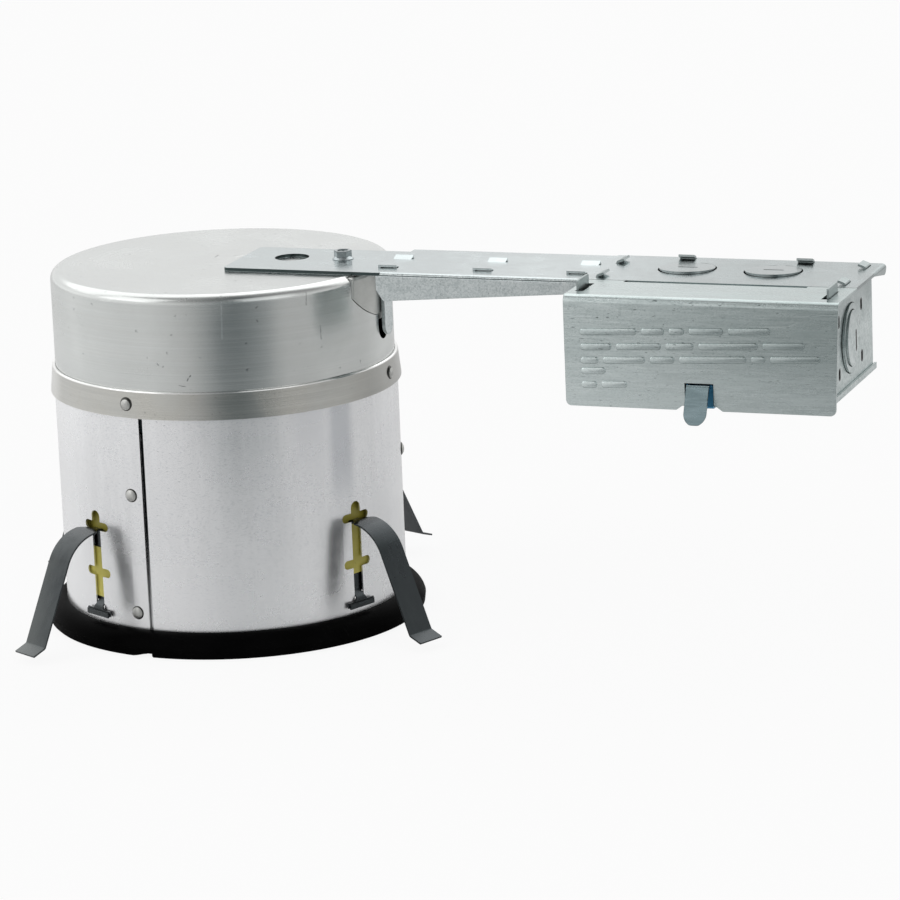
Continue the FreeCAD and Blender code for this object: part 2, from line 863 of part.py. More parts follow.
def make_seal(angle):
    """Tape behind a slot's upper end: it bridges the clip's leg and lies on the wall at both sides."""
    wall = shell_inner - 0.05
    deep = leg_middle - strip_thickness / 2 - seal_leg_gap
    span = seal_half_width
    middle = curved_patch(deep - tape_thickness, deep, span, seal_foot, seal_top)
    wings = curved_patch(wall - tape_thickness, wall, span + seal_wing, seal_foot, seal_top)
    wings = wings.cut(block(0, shell_radius, -span + tape_thickness, span - tape_thickness, 0, can_height))
    sides = tube(deep - tape_thickness, wall, seal_foot, seal_top)
    webs = [
        sides.common(block(0, shell_radius, low, low + tape_thickness, seal_foot, seal_top))
        for low in (-span, span - tape_thickness)
    ]
    return axis_turn(fuse_all([middle, wings] + webs), angle)


# Arm

def screw_hole():
    return Part.makeCylinder(
        screw_shank_radius + screw_hole_gap, screw_length * 2,
        point(screw_x, screw_y, can_height - screw_length),
    )


def lance_hinge(mouth_y):
    inward = -1 if mouth_y > 0 else 1
    return mouth_y + inward * lance_width, inward


def lance_cutter(x, mouth_y):
    hinge_y, inward = lance_hinge(mouth_y)
    return block(
        x - lance_length / 2, x + lance_length / 2, min(hinge_y, mouth_y), max(hinge_y, mouth_y),
        plate_foot - 1, plate_top + 1,
    )


def lance_hood(x, mouth_y):
    """Hood pressed up out of the plate: joined along its inner side and left end, open outwards."""
    hinge_y, inward = lance_hinge(mouth_y)
    root_y = hinge_y + inward * 0.5
    left = x - lance_length / 2
    thick = plate_thickness * 0.6
    roof = polygon_across_x([
        (root_y, plate_top - thick), (mouth_y, plate_top - thick + lance_rise),
        (mouth_y, plate_top + lance_rise), (root_y, plate_top),
    ], left, x + lance_length / 2 - 0.4)
    cheek = polygon_across_x([
        (root_y, plate_top - thick), (mouth_y, plate_top - thick),
        (mouth_y, plate_top + lance_rise), (root_y, plate_top),
    ], left - 0.3, left + lance_cheek)
    return fuse_all([roof, cheek])


def knockout_disc(x):
    """Part-punched disc, tipped up at the front and still tied at the back."""
    disc_radius = knockout_radius - knockout_cut
    disc = Part.makeCylinder(disc_radius, plate_thickness, point(x, knockout_y, plate_foot))
    slot = block(
        x - pry_slot_length / 2, x + pry_slot_length / 2,
        knockout_y + pry_slot_offset - pry_slot_width / 2, knockout_y + pry_slot_offset + pry_slot_width / 2,
        plate_foot - 1, plate_top + 1,
    )
    disc = disc.cut(slot)
    tilt = math.degrees(math.atan2(knockout_lift, knockout_radius * 2))
    disc.rotate(point(x, knockout_hinge_y, plate_foot), point(1, 0, 0), -tilt)
    return disc


def tab_slot(x, y, along_x):
    """Slot in the plate for a tab of the junction box, wider on the side that the tab folds to."""
    long_half = (back_tab_width if along_x else tab_width) / 2 + tab_gap
    short_half = box_wall / 2 + tab_gap
    half_x, half_y = (long_half, short_half) if along_x else (short_half, long_half)
    return block(x - half_x, x + half_x, y - half_y, y + half_y, plate_foot - 1, plate_top + 1)


def tab_places():
    """Every tab as (x, y, runs along X, fold direction)."""
    half_wall = box_wall / 2
    places = [(box_left + half_wall, y, False, 1) for y in left_tab_y]
    places += [(box_right - half_wall, y, False, -1) for y in right_tab_y]
    places += [(x, box_back - half_wall, True, -1) for x in back_tab_x]
    return places


def make_mounting_plate():
    head = block(plate_start, plate_step + 1, plate_front, plate_back_near, plate_foot, plate_top)
    corner_edges = [
        edge for edge in head.Edges
        if edge.BoundBox.XMax < plate_start + 0.1 and edge.BoundBox.ZLength > plate_thickness * 0.9
    ]
    head = head.makeFillet(2.5, corner_edges)
    half = plate_thickness / 2
    front_middle = plate_front + half
    back_middle = plate_back_far - half
    flange_low = plate_top - flange_depth_near - 2
    channel = strip_across_x(
        [(front_middle, flange_low), (front_middle, plate_foot + half),
         (back_middle, plate_foot + half), (back_middle, flange_low)],
        [plate_bend, plate_bend], plate_thickness, flange_start, flange_end,
    )
    near_low = plate_top - flange_depth_near
    far_low = plate_top - flange_depth_far
    taper = polygon_across_y([
        (flange_start - 1, near_low + flange_corner_rise), (flange_start, near_low + flange_corner_rise),
        (flange_start + flange_corner_run, near_low), (flange_end + 1, far_low),
        (flange_end + 1, flange_low - 1), (flange_start - 1, flange_low - 1),
    ], plate_front - 1, plate_back_far + 1)
    channel = channel.cut(taper)
    tail = block(flange_end - 1, plate_end, cover_plate_edge, plate_back_far, plate_foot, plate_top)
    lip = strip_across_y(
        [(plate_end - 6, plate_foot + half), (plate_end - half, plate_foot + half),
         (plate_end - half, plate_top - lip_depth)],
        [lip_bend], plate_thickness, lip_start, plate_back_far,
    )
    corner_y = plate_back_far - lip_corner
    corner_z = plate_top - lip_depth + lip_corner
    corner = block(plate_end - 3, plate_end + 1, corner_y, plate_back_far + 1, 0, corner_z)
    round_corner = Part.makeCylinder(lip_corner, 6, point(plate_end - 4, corner_y, corner_z), point(1, 0, 0))
    lip_slope = polygon_across_x([
        (lip_start - 1, plate_foot), (lip_start, plate_foot), (corner_y, plate_top - lip_depth),
        (corner_y, 0), (lip_start - 1, 0),
    ], plate_end - 3, plate_end + 1)
    lip = lip.cut(corner.cut(round_corner)).cut(lip_slope)
    lip_room = block(
        plate_end - 5, plate_end + 1, lip_start, plate_back_far + 1, plate_foot - 1, plate_top + 1
    )
    tail = tail.cut(lip_room)
    plate = fuse_all([head, channel, tail, lip])
    cutters = [
        Part.makeCylinder(peephole_radius, 10, point(peephole_x, peephole_y, plate_foot - 5)),
        screw_hole(),
    ]
    tongues = []
    for x in lance_x:
        for mouth_y in lance_mouth_y:
            cutters.append(lance_cutter(x, mouth_y))
            tongues.append(lance_hood(x, mouth_y))
    for x in knockout_x:
        cutters.append(Part.makeCylinder(knockout_radius, 10, point(x, knockout_y, plate_foot - 5)))
        tongues.append(knockout_disc(x))
        tie = knockout_tie / 2
        tongues.append(block(
            x - tie, x + tie, knockout_hinge_y - knockout_cut - 1.2, knockout_hinge_y + 0.5,
            plate_foot, plate_top,
        ))
    for x, y, along_x, fold in tab_places():
        cutters.append(tab_slot(x, y, along_x))
    plate = cut_all(plate, cutters)
    return fuse_all([plate] + tongues)


def make_plate_screw():
    """Hex washer-head screw with a dished top."""
    rim = Part.makeCylinder(screw_washer_radius, screw_washer_rim, point(screw_x, screw_y, plate_top))
    cone = Part.makeCone(
        screw_washer_radius, screw_flats / 2, screw_washer_height - screw_washer_rim,
        point(screw_x, screw_y, plate_top + screw_washer_rim), point(0, 0, 1),
    )
    corner_radius = screw_flats / math.sqrt(3)
    head_top = plate_top + screw_head_height
    corners = [
        (screw_x + corner_radius * math.cos(math.radians(60 * index + screw_turn)),
         screw_y + corner_radius * math.sin(math.radians(60 * index + screw_turn)))
        for index in range(6)
    ]
    head = polygon_upright(corners, plate_top + screw_washer_rim, head_top)
    dish = Part.makeCylinder(screw_dish_radius, 2, point(screw_x, screw_y, head_top - screw_dish_depth))
    shank_foot = point(screw_x, screw_y, plate_top - screw_length)
    shank = Part.makeCylinder(screw_shank_radius, screw_length, shank_foot)
    return fuse_all([rim, cone, head.cut(dish), shank])


def make_arm_hook():
    """Tongue under the arm that hangs down the can's wall into the keyhole."""
    half = hook_thickness / 2
    middle_x = cap_radius + hook_gap + 0.3 + half
    under = plate_foot - half
    y0 = hook_side - hook_width / 2
    y1 = hook_side + hook_width / 2
    hook = strip_across_y(
        [(middle_x, hook_foot - 2), (middle_x, under), (middle_x + hook_flange, under)],
        [1.8], hook_thickness, y0, y1,
    )
    radius = hook_width / 2
    low = block(middle_x - 2, middle_x + 2, y0 - 1, y1 + 1, hook_foot - 3, hook_foot + radius)
    round_middle = point(middle_x - 2, hook_side, hook_foot + radius)
    round_end = Part.makeCylinder(radius, 4, round_middle, point(1, 0, 0))
    return hook.cut(low.cut(round_end))


# Junction box

def make_tab(x, y, along_x, fold):
    """Tab that stands through the plate and folds over on top of it."""
    half_wall = box_wall / 2
    low = plate_foot - 2
    lean = math.radians(tab_angle)
    start_z = plate_top + tab_rise
    reach_side = tab_fold * math.cos(lean) * fold
    reach_up = tab_fold * math.sin(lean)
    corners = [(0, low), (0, start_z), (reach_side, start_z + reach_up)]
    if along_x:
        strip = strip_across_x(
            [(y + across, z) for across, z in corners], [0.6], box_wall,
            x - back_tab_width / 2, x + back_tab_width / 2,
        )
    else:
        strip = strip_across_y(
            [(x + across, z) for across, z in corners], [0.6], box_wall, y - tab_width / 2, y + tab_width / 2
        )
    return strip


def make_ear(x):
    """Ear on the top edge of an end wall that stands through the cover's flange."""
    top = plate_top + ear_height
    ear = block(x, x + box_wall, ear_front, ear_back, plate_foot - 4, top)
    upper_corners = [
        edge for edge in ear.Edges
        if edge.BoundBox.ZMin > top - 0.1 and edge.BoundBox.YLength < 0.1
    ]
    return ear.makeFillet(ear_corner, upper_corners)


def side_hole(x, y, z):
    return upright_slot(x - 3, x + 3, y, side_hole_width, z - side_hole_length / 2, z + side_hole_length / 2)


def wall_disc(x, radius):
    """Disc as thick as the box wall, centred on an end wall's knockout."""
    return Part.makeCylinder(radius, box_wall, point(x, side_knockout_y, side_knockout_z), point(1, 0, 0))


def rear_tie(x, radius):
    """Metal left at the rear edge of a part-punched disc."""
    rear = side_knockout_y + radius
    return block(
        x, x + box_wall, rear - side_cut - 1.0, rear + 0.5,
        side_knockout_z - side_tie, side_knockout_z + side_tie,
    )


def tipped(shape, x, radius, angle):
    """Turns part of an end wall about the rear edge of a circle, so its front stands out."""
    moved = shape.copy()
    moved.rotate(point(x + box_wall / 2, side_knockout_y + radius, side_knockout_z), point(0, 0, 1), angle)
    return moved


def tipped_knockout(x, outward):
    """Two part-punched knockouts, one in the other, both tipped out at the front."""
    ring = wall_disc(x, side_knockout_outer - side_cut).cut(wall_disc(x, side_knockout_inner))
    disc = wall_disc(x, side_knockout_inner - side_cut)
    disc = tipped(disc, x, side_knockout_inner, outward * side_disc_tip)
    inside = fuse_all([ring, disc, rear_tie(x, side_knockout_inner)])
    return [tipped(inside, x, side_knockout_outer, outward * side_ring_tip), rear_tie(x, side_knockout_outer)]


def make_box_shell():
    """End walls and back of the box in one folded sheet, with ears, tabs and side knockouts."""
    half = box_wall / 2
    outline = strip_outline(
        [(box_left + half, box_front), (box_left + half, box_back - half),
         (box_right - half, box_back - half), (box_right - half, box_front)],
        [box_bend, box_bend], box_wall,
    )
    low = box_foot + box_wall
    walls = outline.extrude(point(0, 0, plate_foot - low))
    walls.translate(point(0, 0, low))
    front_room = block(
        box_left - 1, box_right + 1, box_front - 1, cover_plate_edge, plate_foot - 0.4, plate_foot + 1
    )
    pieces = [walls.cut(front_room)]
    for x in (box_left, box_right - box_wall):
        pieces.append(make_ear(x))
    for x, y, along_x, fold in tab_places():
        pieces.append(make_tab(x, y, along_x, fold))
    discs = []
    rooms = []
    for x, outward in ((box_right - box_wall, 1), (box_left, -1)):
        rooms.append(wall_disc(x, side_knockout_outer))
        discs += tipped_knockout(x, outward)
    shell = fuse_all([cut_all(fuse_all(pieces), rooms)] + discs)
    cutters = []
    for x in (box_left, box_right):
        for y in side_hole_y:
            for z in side_hole_z:
                cutters.append(side_hole(x, y, z))
        slot_middle = side_knockout_z - side_slot_drop
        cutters.append(upright_slot(
            x - 3, x + 3, side_knockout_y + side_slot_offset, pry_slot_width,
            slot_middle - pry_slot_length / 2, slot_middle + pry_slot_length / 2,
        ))
    return cut_all(shell, cutters)


def make_box_bottom():
    """Floor of the box with low flanges outside the walls and a notch in front of the latch."""
    half = box_wall / 2
    gap = 0.1
    left = box_left - gap - half
    right = box_right + gap + half
    floor_middle = box_foot + half
    tray = strip_across_y(
        [(left, box_foot + box_flange), (left, floor_middle),
         (right, floor_middle), (right, box_foot + box_flange)],
        [0.6, 0.6], box_wall, box_front, box_back,
    )
    room = block(
        latch_x - latch_leg_width / 2 - 0.6, latch_x + latch_leg_width / 2 + 0.6,
        box_front - 1, latch_leg_y + latch_thickness / 2 + latch_gap * 2,
        box_foot - 1, box_foot + box_wall + 1,
    )
    bottom = tray.cut(room)
    rivet_room = Part.makeCylinder(
        latch_rivet_radius + latch_gap, 10, point(latch_x, latch_pivot_y, box_foot - 5)
    )
    ground_room = Part.makeCylinder(ground_shank_radius + 0.05, 10, point(ground_x, ground_y, box_foot - 5))
    return cut_all(bottom, [rivet_room, ground_room])


def make_ground_screw():
    low = box_foot + box_wall
    corner_radius = ground_head_radius
    corners = [
        (ground_x + corner_radius * math.cos(math.radians(60 * index)),
         ground_y + corner_radius * math.sin(math.radians(60 * index)))
        for index in range(6)
    ]
    head = polygon_upright(corners, low, low + ground_head_height)
    slot = block(
        ground_x - 6, ground_x + 6, ground_y - 0.6, ground_y + 0.6,
        low + ground_head_height - 1.0, low + ground_head_height + 1,
    )
    shank = Part.makeCylinder(ground_shank_radius, 5.0, point(ground_x, ground_y, low - 5.0))
    return fuse_all([head.cut(slot), shank])


def make_box_cover():
    """Cover: a top flange that hooks under the plate and a face that hangs in front of the box."""
    half = cover_thickness / 2
    top_middle = plate_top - half
    face_middle = cover_face + half
    rear = cover_plate_edge - cover_hinge_gap
    cover = strip_across_x(
        [(rear, top_middle), (face_middle, top_middle), (face_middle, cover_foot)],
        [cover_bend], cover_thickness, cover_left, cover_right,
    )
    lean = polygon_across_y([
        (cover_right + 1, plate_foot - 2), (cover_right, plate_foot - 2),
        (cover_right - cover_lean, cover_foot),
        (cover_right - cover_lean, cover_foot - 1), (cover_right + 1, cover_foot - 1),
    ], cover_face - 1, cover_face + cover_thickness + 1)
    cover = cover.cut(lean)
    foot_corners = [
        edge for edge in cover.Edges
        if edge.BoundBox.ZMax < cover_foot + 0.1 and edge.BoundBox.XLength < 0.1
        and edge.BoundBox.YLength > cover_thickness * 0.9
    ]
    cover = cover.makeFillet(cover_corner, foot_corners)
    groove_start = rear - groove_width
    tongue_middle = plate_foot - tongue_drop - half
    groove = block(
        tongue_left - 0.3, tongue_right + 0.3, groove_start - 1, rear + 1,
        plate_top - cover_thickness - 1, plate_top + 1,
    )
    tongue = strip_across_x(
        [(groove_start - 5, top_middle), (groove_start - 0.4, top_middle),
         (groove_start + 1.5, tongue_middle), (cover_plate_edge + tongue_reach, tongue_middle)],
        [0.9, 0.9], cover_thickness, tongue_left, tongue_right,
    )
    cover = fuse_all([cover.cut(groove), tongue])
    cutters = []
    slot_front = ear_front - 1.0
    slot_back = ear_back + ear_slot_gap + 0.3
    left_slot = block(
        box_left - ear_slot_gap, box_left + box_wall + ear_slot_inside,
        slot_front, slot_back, plate_foot - 1, plate_top + 1,
    )
    right_slot = block(
        box_right - box_wall - ear_slot_inside, box_right + ear_slot_gap,
        slot_front, slot_back, plate_foot - 1, plate_top + 1,
    )
    notch = polygon_across_y([
        (latch_x - notch_half_width, notch_top), (latch_x + notch_half_width, notch_top),
        (latch_x + notch_half_width, cover_foot + notch_flare_rise),
        (latch_x + notch_flare_foot, cover_foot), (latch_x + notch_flare_foot, cover_foot - 1),
        (latch_x - notch_flare_foot, cover_foot - 1), (latch_x - notch_flare_foot, cover_foot),
        (latch_x - notch_half_width, cover_foot + notch_flare_rise),
    ], cover_face - 1, cover_face + cover_thickness + 1)
    cutters += [left_slot, right_slot, notch]
    return cut_all(cover, cutters)


def make_cover_latch():
    """Spring latch: leg behind the face, crest through the notch, tongue outside that flares at its tip."""
    crest = notch_top - latch_gap - latch_thickness / 2
    strip = strip_across_x(
        [(latch_leg_y + latch_foot_reach, latch_foot), (latch_leg_y, latch_foot), (latch_leg_y, crest),
         (latch_tongue_y, crest - 0.3), (latch_tongue_y - latch_flare, latch_tip)],
        [0.7, 1.0, 1.4], latch_thickness, latch_x - latch_leg_width / 2, latch_x + latch_leg_width / 2,
    )
    front = latch_leg_y - 1.6
    half_tongue = latch_tongue_width / 2
    sides = []
    for side in (1, -1):
        inner_edge = latch_x + side * half_tongue
        outer_edge = latch_x + side * (latch_leg_width / 2 + 1)
        sides.append(block(
            min(inner_edge, outer_edge), max(inner_edge, outer_edge),
            latch_tongue_y - latch_flare - 3, front, latch_tip - 2, crest + 2,
        ))
    tip_room = block(
        latch_x - half_tongue - 1, latch_x + half_tongue + 1,
        latch_tongue_y - latch_flare - 3, front, latch_tip - 2, latch_tip + half_tongue,
    )
    tip_round = Part.makeCylinder(
        half_tongue, 16, point(latch_x, latch_tongue_y - latch_flare - 4, latch_tip + half_tongue - 0.25),
        point(0, 1, 0),
    )
    hole = Part.makeCylinder(
        latch_rivet_radius + 0.05, 3, point(latch_x, latch_pivot_y, latch_foot - 1.5)
    )
    return cut_all(strip, sides + [tip_room.cut(tip_round), hole])


def make_latch_rivet():
    """Rivet of the latch, loose enough in the floor for the strip to rock."""
    low = latch_foot - latch_thickness / 2
    top = box_foot + box_wall + latch_gap
    head = Part.makeCylinder(latch_rivet_head, 0.8, point(latch_x, latch_pivot_y, low - 0.8))
    shank = Part.makeCylinder(latch_rivet_radius, top - low, point(latch_x, latch_pivot_y, low))
    tail = Part.makeCylinder(latch_rivet_head, 0.8, point(latch_x, latch_pivot_y, top))
    return fuse_all([head, shank, tail])


# Lampholder

def make_socket_bracket():
    half = strap_thickness / 2
    middle_y = strap_y - half
    top_middle = inner_ceiling - half
    strap = strip_across_x(
        [(strap_y - strap_flange, top_middle), (middle_y, top_middle), (middle_y, strap_foot)],
        [2.0], strap_thickness, -strap_width / 2, strap_width / 2,
    )
    slot = upright_slot(-3, 3, 0, strap_slot_width, strap_slot_foot, strap_slot_top)
    slot.rotate(point(0, 0, 0), point(0, 0, 1), 90)
    slot.translate(point(0, middle_y, 0))
    return strap.cut(slot)


def make_socket_carrier():
    half = carrier_thickness / 2
    strap_inner = strap_y - strap_thickness
    tab_middle = strap_inner - carrier_gap - half
    middle = carrier_height + half
    tab = strip_across_x(
        [(carrier_radius - 14, middle), (tab_middle, middle), (tab_middle, carrier_tab_top)],
        [1.6], carrier_thickness, -strap_width / 2, strap_width / 2,
    )
    disc = Part.makeCylinder(carrier_radius, carrier_thickness, point(0, 0, carrier_height))
    carrier = fuse_all([disc, tab])
    neck = Part.makeCylinder(holder_neck_radius + 0.3, 10, point(0, 0, carrier_height - 5))
    bolt = Part.makeCylinder(bolt_radius + 0.1, 10, point(0, tab_middle - 5, bolt_height), point(0, 1, 0))
    holes = [
        Part.makeCylinder(socket_screw_radius + 0.05, 10, point(x, 0, carrier_height - 5))
        for x in (socket_screw_spacing, -socket_screw_spacing)
    ]
    return cut_all(carrier, [neck, bolt] + holes)


def make_carrier_bolt():
    head_low = strap_y + 0.1
    head_middle = point(0, head_low, bolt_height)
    head = Part.makeCylinder(bolt_head_radius, bolt_head_height, head_middle, point(0, 1, 0))
    shank = Part.makeCylinder(
        bolt_radius, bolt_length, point(0, head_low - bolt_length, bolt_height), point(0, 1, 0)
    )
    return fuse_all([head, shank])


def make_wing_nut():
    face = strap_y - strap_thickness - carrier_gap - carrier_thickness
    hub = Part.makeCylinder(
        wing_hub_radius, wing_hub_length, point(0, face - wing_hub_length, bolt_height), point(0, 1, 0)
    )
    half_span = wing_span / 2
    tip = wing_thickness / 2
    wings = [hub]
    for side in (1, -1):
        outline = Part.makePolygon([
            point(side * 1.0, face - 1.0, bolt_height - tip),
            point(side * 1.0, face - wing_hub_length, bolt_height - tip),
            point(side * half_span * 0.7, face - wing_hub_length - wing_height, bolt_height - tip),
            point(side * half_span, face - wing_hub_length - wing_height * 0.7, bolt_height - tip),
            point(side * half_span * 0.55, face - 1.0, bolt_height - tip),
            point(side * 1.0, face - 1.0, bolt_height - tip),
        ])
        wings.append(Part.Face(outline).extrude(point(0, 0, wing_thickness)))
    nut = fuse_all(wings)
    bore = Part.makeCylinder(bolt_radius + 0.05, 40, point(0, face - 30, bolt_height), point(0, 1, 0))
    return nut.cut(bore)


def make_lamp_socket():
    """Porcelain holder: a flange under the carrier, a neck through it and a deep mouth below."""
    flange_low = carrier_height - holder_flange_height
    bore_top = holder_mouth + holder_bore_depth
    body = revolve_profile([
        (0, holder_top), (holder_neck_radius - 2, holder_top), (holder_neck_radius, holder_top - 2),
        (holder_neck_radius, carrier_height), (holder_flange_radius, carrier_height),
        (holder_flange_radius, flange_low), (holder_radius, flange_low - 2),
        (holder_radius, holder_mouth + 1), (holder_radius - 1, holder_mouth),
        (holder_bore_radius, holder_mouth), (holder_bore_radius, bore_top), (0, bore_top),
    ])
    holes = [
        Part.makeCylinder(
            socket_screw_radius + 0.05, socket_screw_hole * 2, point(x, 0, carrier_height - socket_screw_hole)
        )
        for x in (socket_screw_spacing, -socket_screw_spacing)
    ]
    return cut_all(body, holes)


def make_socket_screws():
    low = carrier_height - socket_screw_length
    top = carrier_height + carrier_thickness
    head_top = top + socket_screw_head_height
    half_slot = socket_screw_slot / 2
    screws = []
    for x in (socket_screw_spacing, -socket_screw_spacing):
        shank = Part.makeCylinder(socket_screw_radius, top - low, point(x, 0, low))
        head = Part.makeCylinder(socket_screw_head_radius, socket_screw_head_height, point(x, 0, top))
        slot = block(
            x - socket_screw_head_radius - 1, x + socket_screw_head_radius + 1, -half_slot, half_slot,
            head_top - socket_screw_slot * 0.8, head_top + 1,
        )
        screws.append(fuse_all([shank, head]).cut(slot))
    return Part.makeCompound(screws)


def make_screw_shell():
    """Rolled thread of the lampholder, as round waves in a thin sheet."""
    outer = screw_shell_radius
    low = holder_mouth + 1.2
    top = low + thread_pitch * thread_turns
    corners_out = []
    corners_in = []
    for turn in range(thread_turns):
        base = low + thread_pitch * turn
        corners_out += [(outer, base), (outer - thread_depth, base + thread_pitch / 2)]
        corners_in += [
            (outer - screw_shell_wall, base),
            (outer - thread_depth - screw_shell_wall, base + thread_pitch / 2),
        ]
    corners_out.append((outer, top))
    corners_in.append((outer - screw_shell_wall, top))
    shell = revolve_profile(corners_in + corners_out[::-1])
    roof_top = holder_mouth + holder_bore_depth
    skirt = revolve_profile([
        (outer - screw_shell_wall, top), (outer, top), (outer, roof_top),
        (7.0, roof_top), (7.0, roof_top - screw_shell_wall),
        (outer - screw_shell_wall, roof_top - screw_shell_wall),
    ])
    return fuse_all([shell, skirt])


def make_centre_contact():
    roof = holder_mouth + holder_bore_depth
    return strip_across_x(
        [(-4.6, roof - 0.3), (3.6, roof - 0.3), (-2.4, roof - 3.2)],
        [0.8], contact_thickness, -contact_width / 2, contact_width / 2,
    )


# Small inner pieces

def make_heat_limiter():
    top = inner_ceiling
    flange = block(
        limiter_x - limiter_flange_length / 2, limiter_x + limiter_flange_length / 2,
        limiter_y - limiter_flange_width / 2, limiter_y + limiter_flange_width / 2,
        top - limiter_flange_height, top,
    )
    low = top - limiter_height
    body = Part.makeCylinder(limiter_radius, limiter_height, point(limiter_x, limiter_y, low))
    neck = Part.makeCylinder(
        limiter_radius - limiter_neck_step, limiter_neck_height,
        point(limiter_x, limiter_y, low - limiter_neck_height),
    )
    pins = [
        block(
            limiter_x - 0.4, limiter_x + 0.4, limiter_y + offset - 2, limiter_y + offset + 2,
            top - limiter_height - 9.0, top - limiter_height - 3.0,
        )
        for offset in (-3.5, 3.5)
    ]
    return fuse_all([flange, body, neck] + pins)


def make_trim_bracket(angle):
    """Angle riveted inside the shell: its shelf has the slot that holds the trim's spring."""
    half = trim_bracket_thickness / 2
    wall = shell_inner - 0.3 - half
    low = rivet_high_height - trim_bracket_height / 2
    high = rivet_high_height + trim_bracket_height / 2
    bracket = strip_across_y(
        [(wall, low), (wall, high), (wall - trim_bracket_reach, high)],
        [1.4], trim_bracket_thickness, -trim_bracket_width / 2, trim_bracket_width / 2,
    )
    slot = block(wall - trim_bracket_reach + 2, wall - 3, -1.6, 1.6, high - 3, high + 3)
    hole = Part.makeCylinder(
        rivet_shank_radius + rivet_hole_gap, 10, point(wall - 5, 0, rivet_high_height), point(1, 0, 0)
    )
    return axis_turn(cut_all(bracket, [slot, hole]), angle)


def build_nodes():
    nodes = {
        "can_cap": make_can_cap(),
        "body_shell": make_body_shell(),
        "joint_band": make_joint_band(),
        "band_rivets": make_band_rivets(),
        "seam_rivets": make_seam_rivets(),
        "bracket_rivets": make_bracket_rivets(),
        "flange_ring": make_flange_ring(),
        "port_cover": make_port_cover(),
        "wire_grommet": make_wire_grommet(),
        "arm_hook": make_arm_hook(),
        "mounting_plate": make_mounting_plate(),
        "plate_screw": make_plate_screw(),
        "box_shell": make_box_shell(),
        "box_bottom": make_box_bottom(),
        "ground_screw": make_ground_screw(),
        "box_cover": make_box_cover(),
        "cover_latch": make_cover_latch(),
        "latch_rivet": make_latch_rivet(),
        "socket_bracket": make_socket_bracket(),
        "socket_carrier": make_socket_carrier(),
        "carrier_bolt": make_carrier_bolt(),
        "wing_nut": make_wing_nut(),
        "lamp_socket": make_lamp_socket(),
        "socket_screws": make_socket_screws(),
        "screw_shell": make_screw_shell(),
        "centre_contact": make_centre_contact(),
        "heat_limiter": make_heat_limiter(),
        "trim_bracket_right": make_trim_bracket(side_rivet_angles[0]),
        "trim_bracket_left": make_trim_bracket(side_rivet_angles[1]),
    }
    for place, angle in clip_angles.items():
        nodes["clip_" + place] = make_clip(angle, clip_spring_out[place])
        nodes["tape_" + place] = make_tape(angle, tape_foot[place])
        nodes["seal_" + place] = make_seal(angle)
    return nodes


os.makedirs("parts", exist_ok=True)
for name, shape in build_nodes().items():
    solids = len(shape.Solids)
    print(name, solids, "solids", round(shape.Volume), "mm3", "valid" if shape.isValid() else "NOT VALID")
    shape.exportStep("parts/" + name + ".step")
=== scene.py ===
import math

import bmesh
import bpy
from mathutils import Matrix, Vector


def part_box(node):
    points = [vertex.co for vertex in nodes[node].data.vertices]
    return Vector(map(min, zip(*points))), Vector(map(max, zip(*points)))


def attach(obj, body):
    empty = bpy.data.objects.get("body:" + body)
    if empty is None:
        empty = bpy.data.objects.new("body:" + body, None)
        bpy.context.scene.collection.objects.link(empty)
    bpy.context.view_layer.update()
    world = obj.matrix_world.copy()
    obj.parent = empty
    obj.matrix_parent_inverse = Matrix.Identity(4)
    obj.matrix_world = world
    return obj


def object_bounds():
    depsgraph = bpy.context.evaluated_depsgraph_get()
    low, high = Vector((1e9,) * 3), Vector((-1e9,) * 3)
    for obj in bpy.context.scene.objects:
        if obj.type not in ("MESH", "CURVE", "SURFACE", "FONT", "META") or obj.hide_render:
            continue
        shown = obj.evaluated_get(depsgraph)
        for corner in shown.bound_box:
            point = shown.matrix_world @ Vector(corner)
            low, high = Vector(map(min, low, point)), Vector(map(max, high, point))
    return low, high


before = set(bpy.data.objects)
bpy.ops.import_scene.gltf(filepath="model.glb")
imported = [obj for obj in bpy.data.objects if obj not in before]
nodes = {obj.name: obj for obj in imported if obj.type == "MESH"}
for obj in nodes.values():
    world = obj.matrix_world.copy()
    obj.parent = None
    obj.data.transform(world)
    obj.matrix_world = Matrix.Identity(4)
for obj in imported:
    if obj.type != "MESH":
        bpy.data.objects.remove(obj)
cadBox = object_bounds()
clipPlaces = ["front_left", "front_right", "back_right", "back_left"]
print("frame loaded,", len(nodes), "nodes")


# Small helpers for node trees

def addNode(tree, kind, settings=None, inputs=None):
    node = tree.nodes.new(kind)
    for name, value in (settings or {}).items():
        setattr(node, name, value)
    for name, value in (inputs or {}).items():
        if isinstance(value, bpy.types.NodeSocket):
            tree.links.new(value, node.inputs[name])
        else:
            node.inputs[name].default_value = value
    return node


def maths(tree, operation, first, second=None, third=None, clamp=False):
    inputs = {0: first}
    if second is not None:
        inputs[1] = second
    if third is not None:
        inputs[2] = third
    node = addNode(tree, "ShaderNodeMath", {"operation": operation, "use_clamp": clamp}, inputs)
    return node.outputs[0]


def vectorMaths(tree, operation, inputs):
    return addNode(tree, "ShaderNodeVectorMath", {"operation": operation}, inputs).outputs


def mixColours(tree, factor, first, second, blend="MIX"):
    settings = {"data_type": "RGBA", "blend_type": blend}
    node = addNode(tree, "ShaderNodeMix", settings, {0: factor, 6: first, 7: second})
    return node.outputs[2]


def tinted(tree, tone, tint, mask, amount):
    return mixColours(tree, maths(tree, "MULTIPLY", mask, amount), tone, tint)


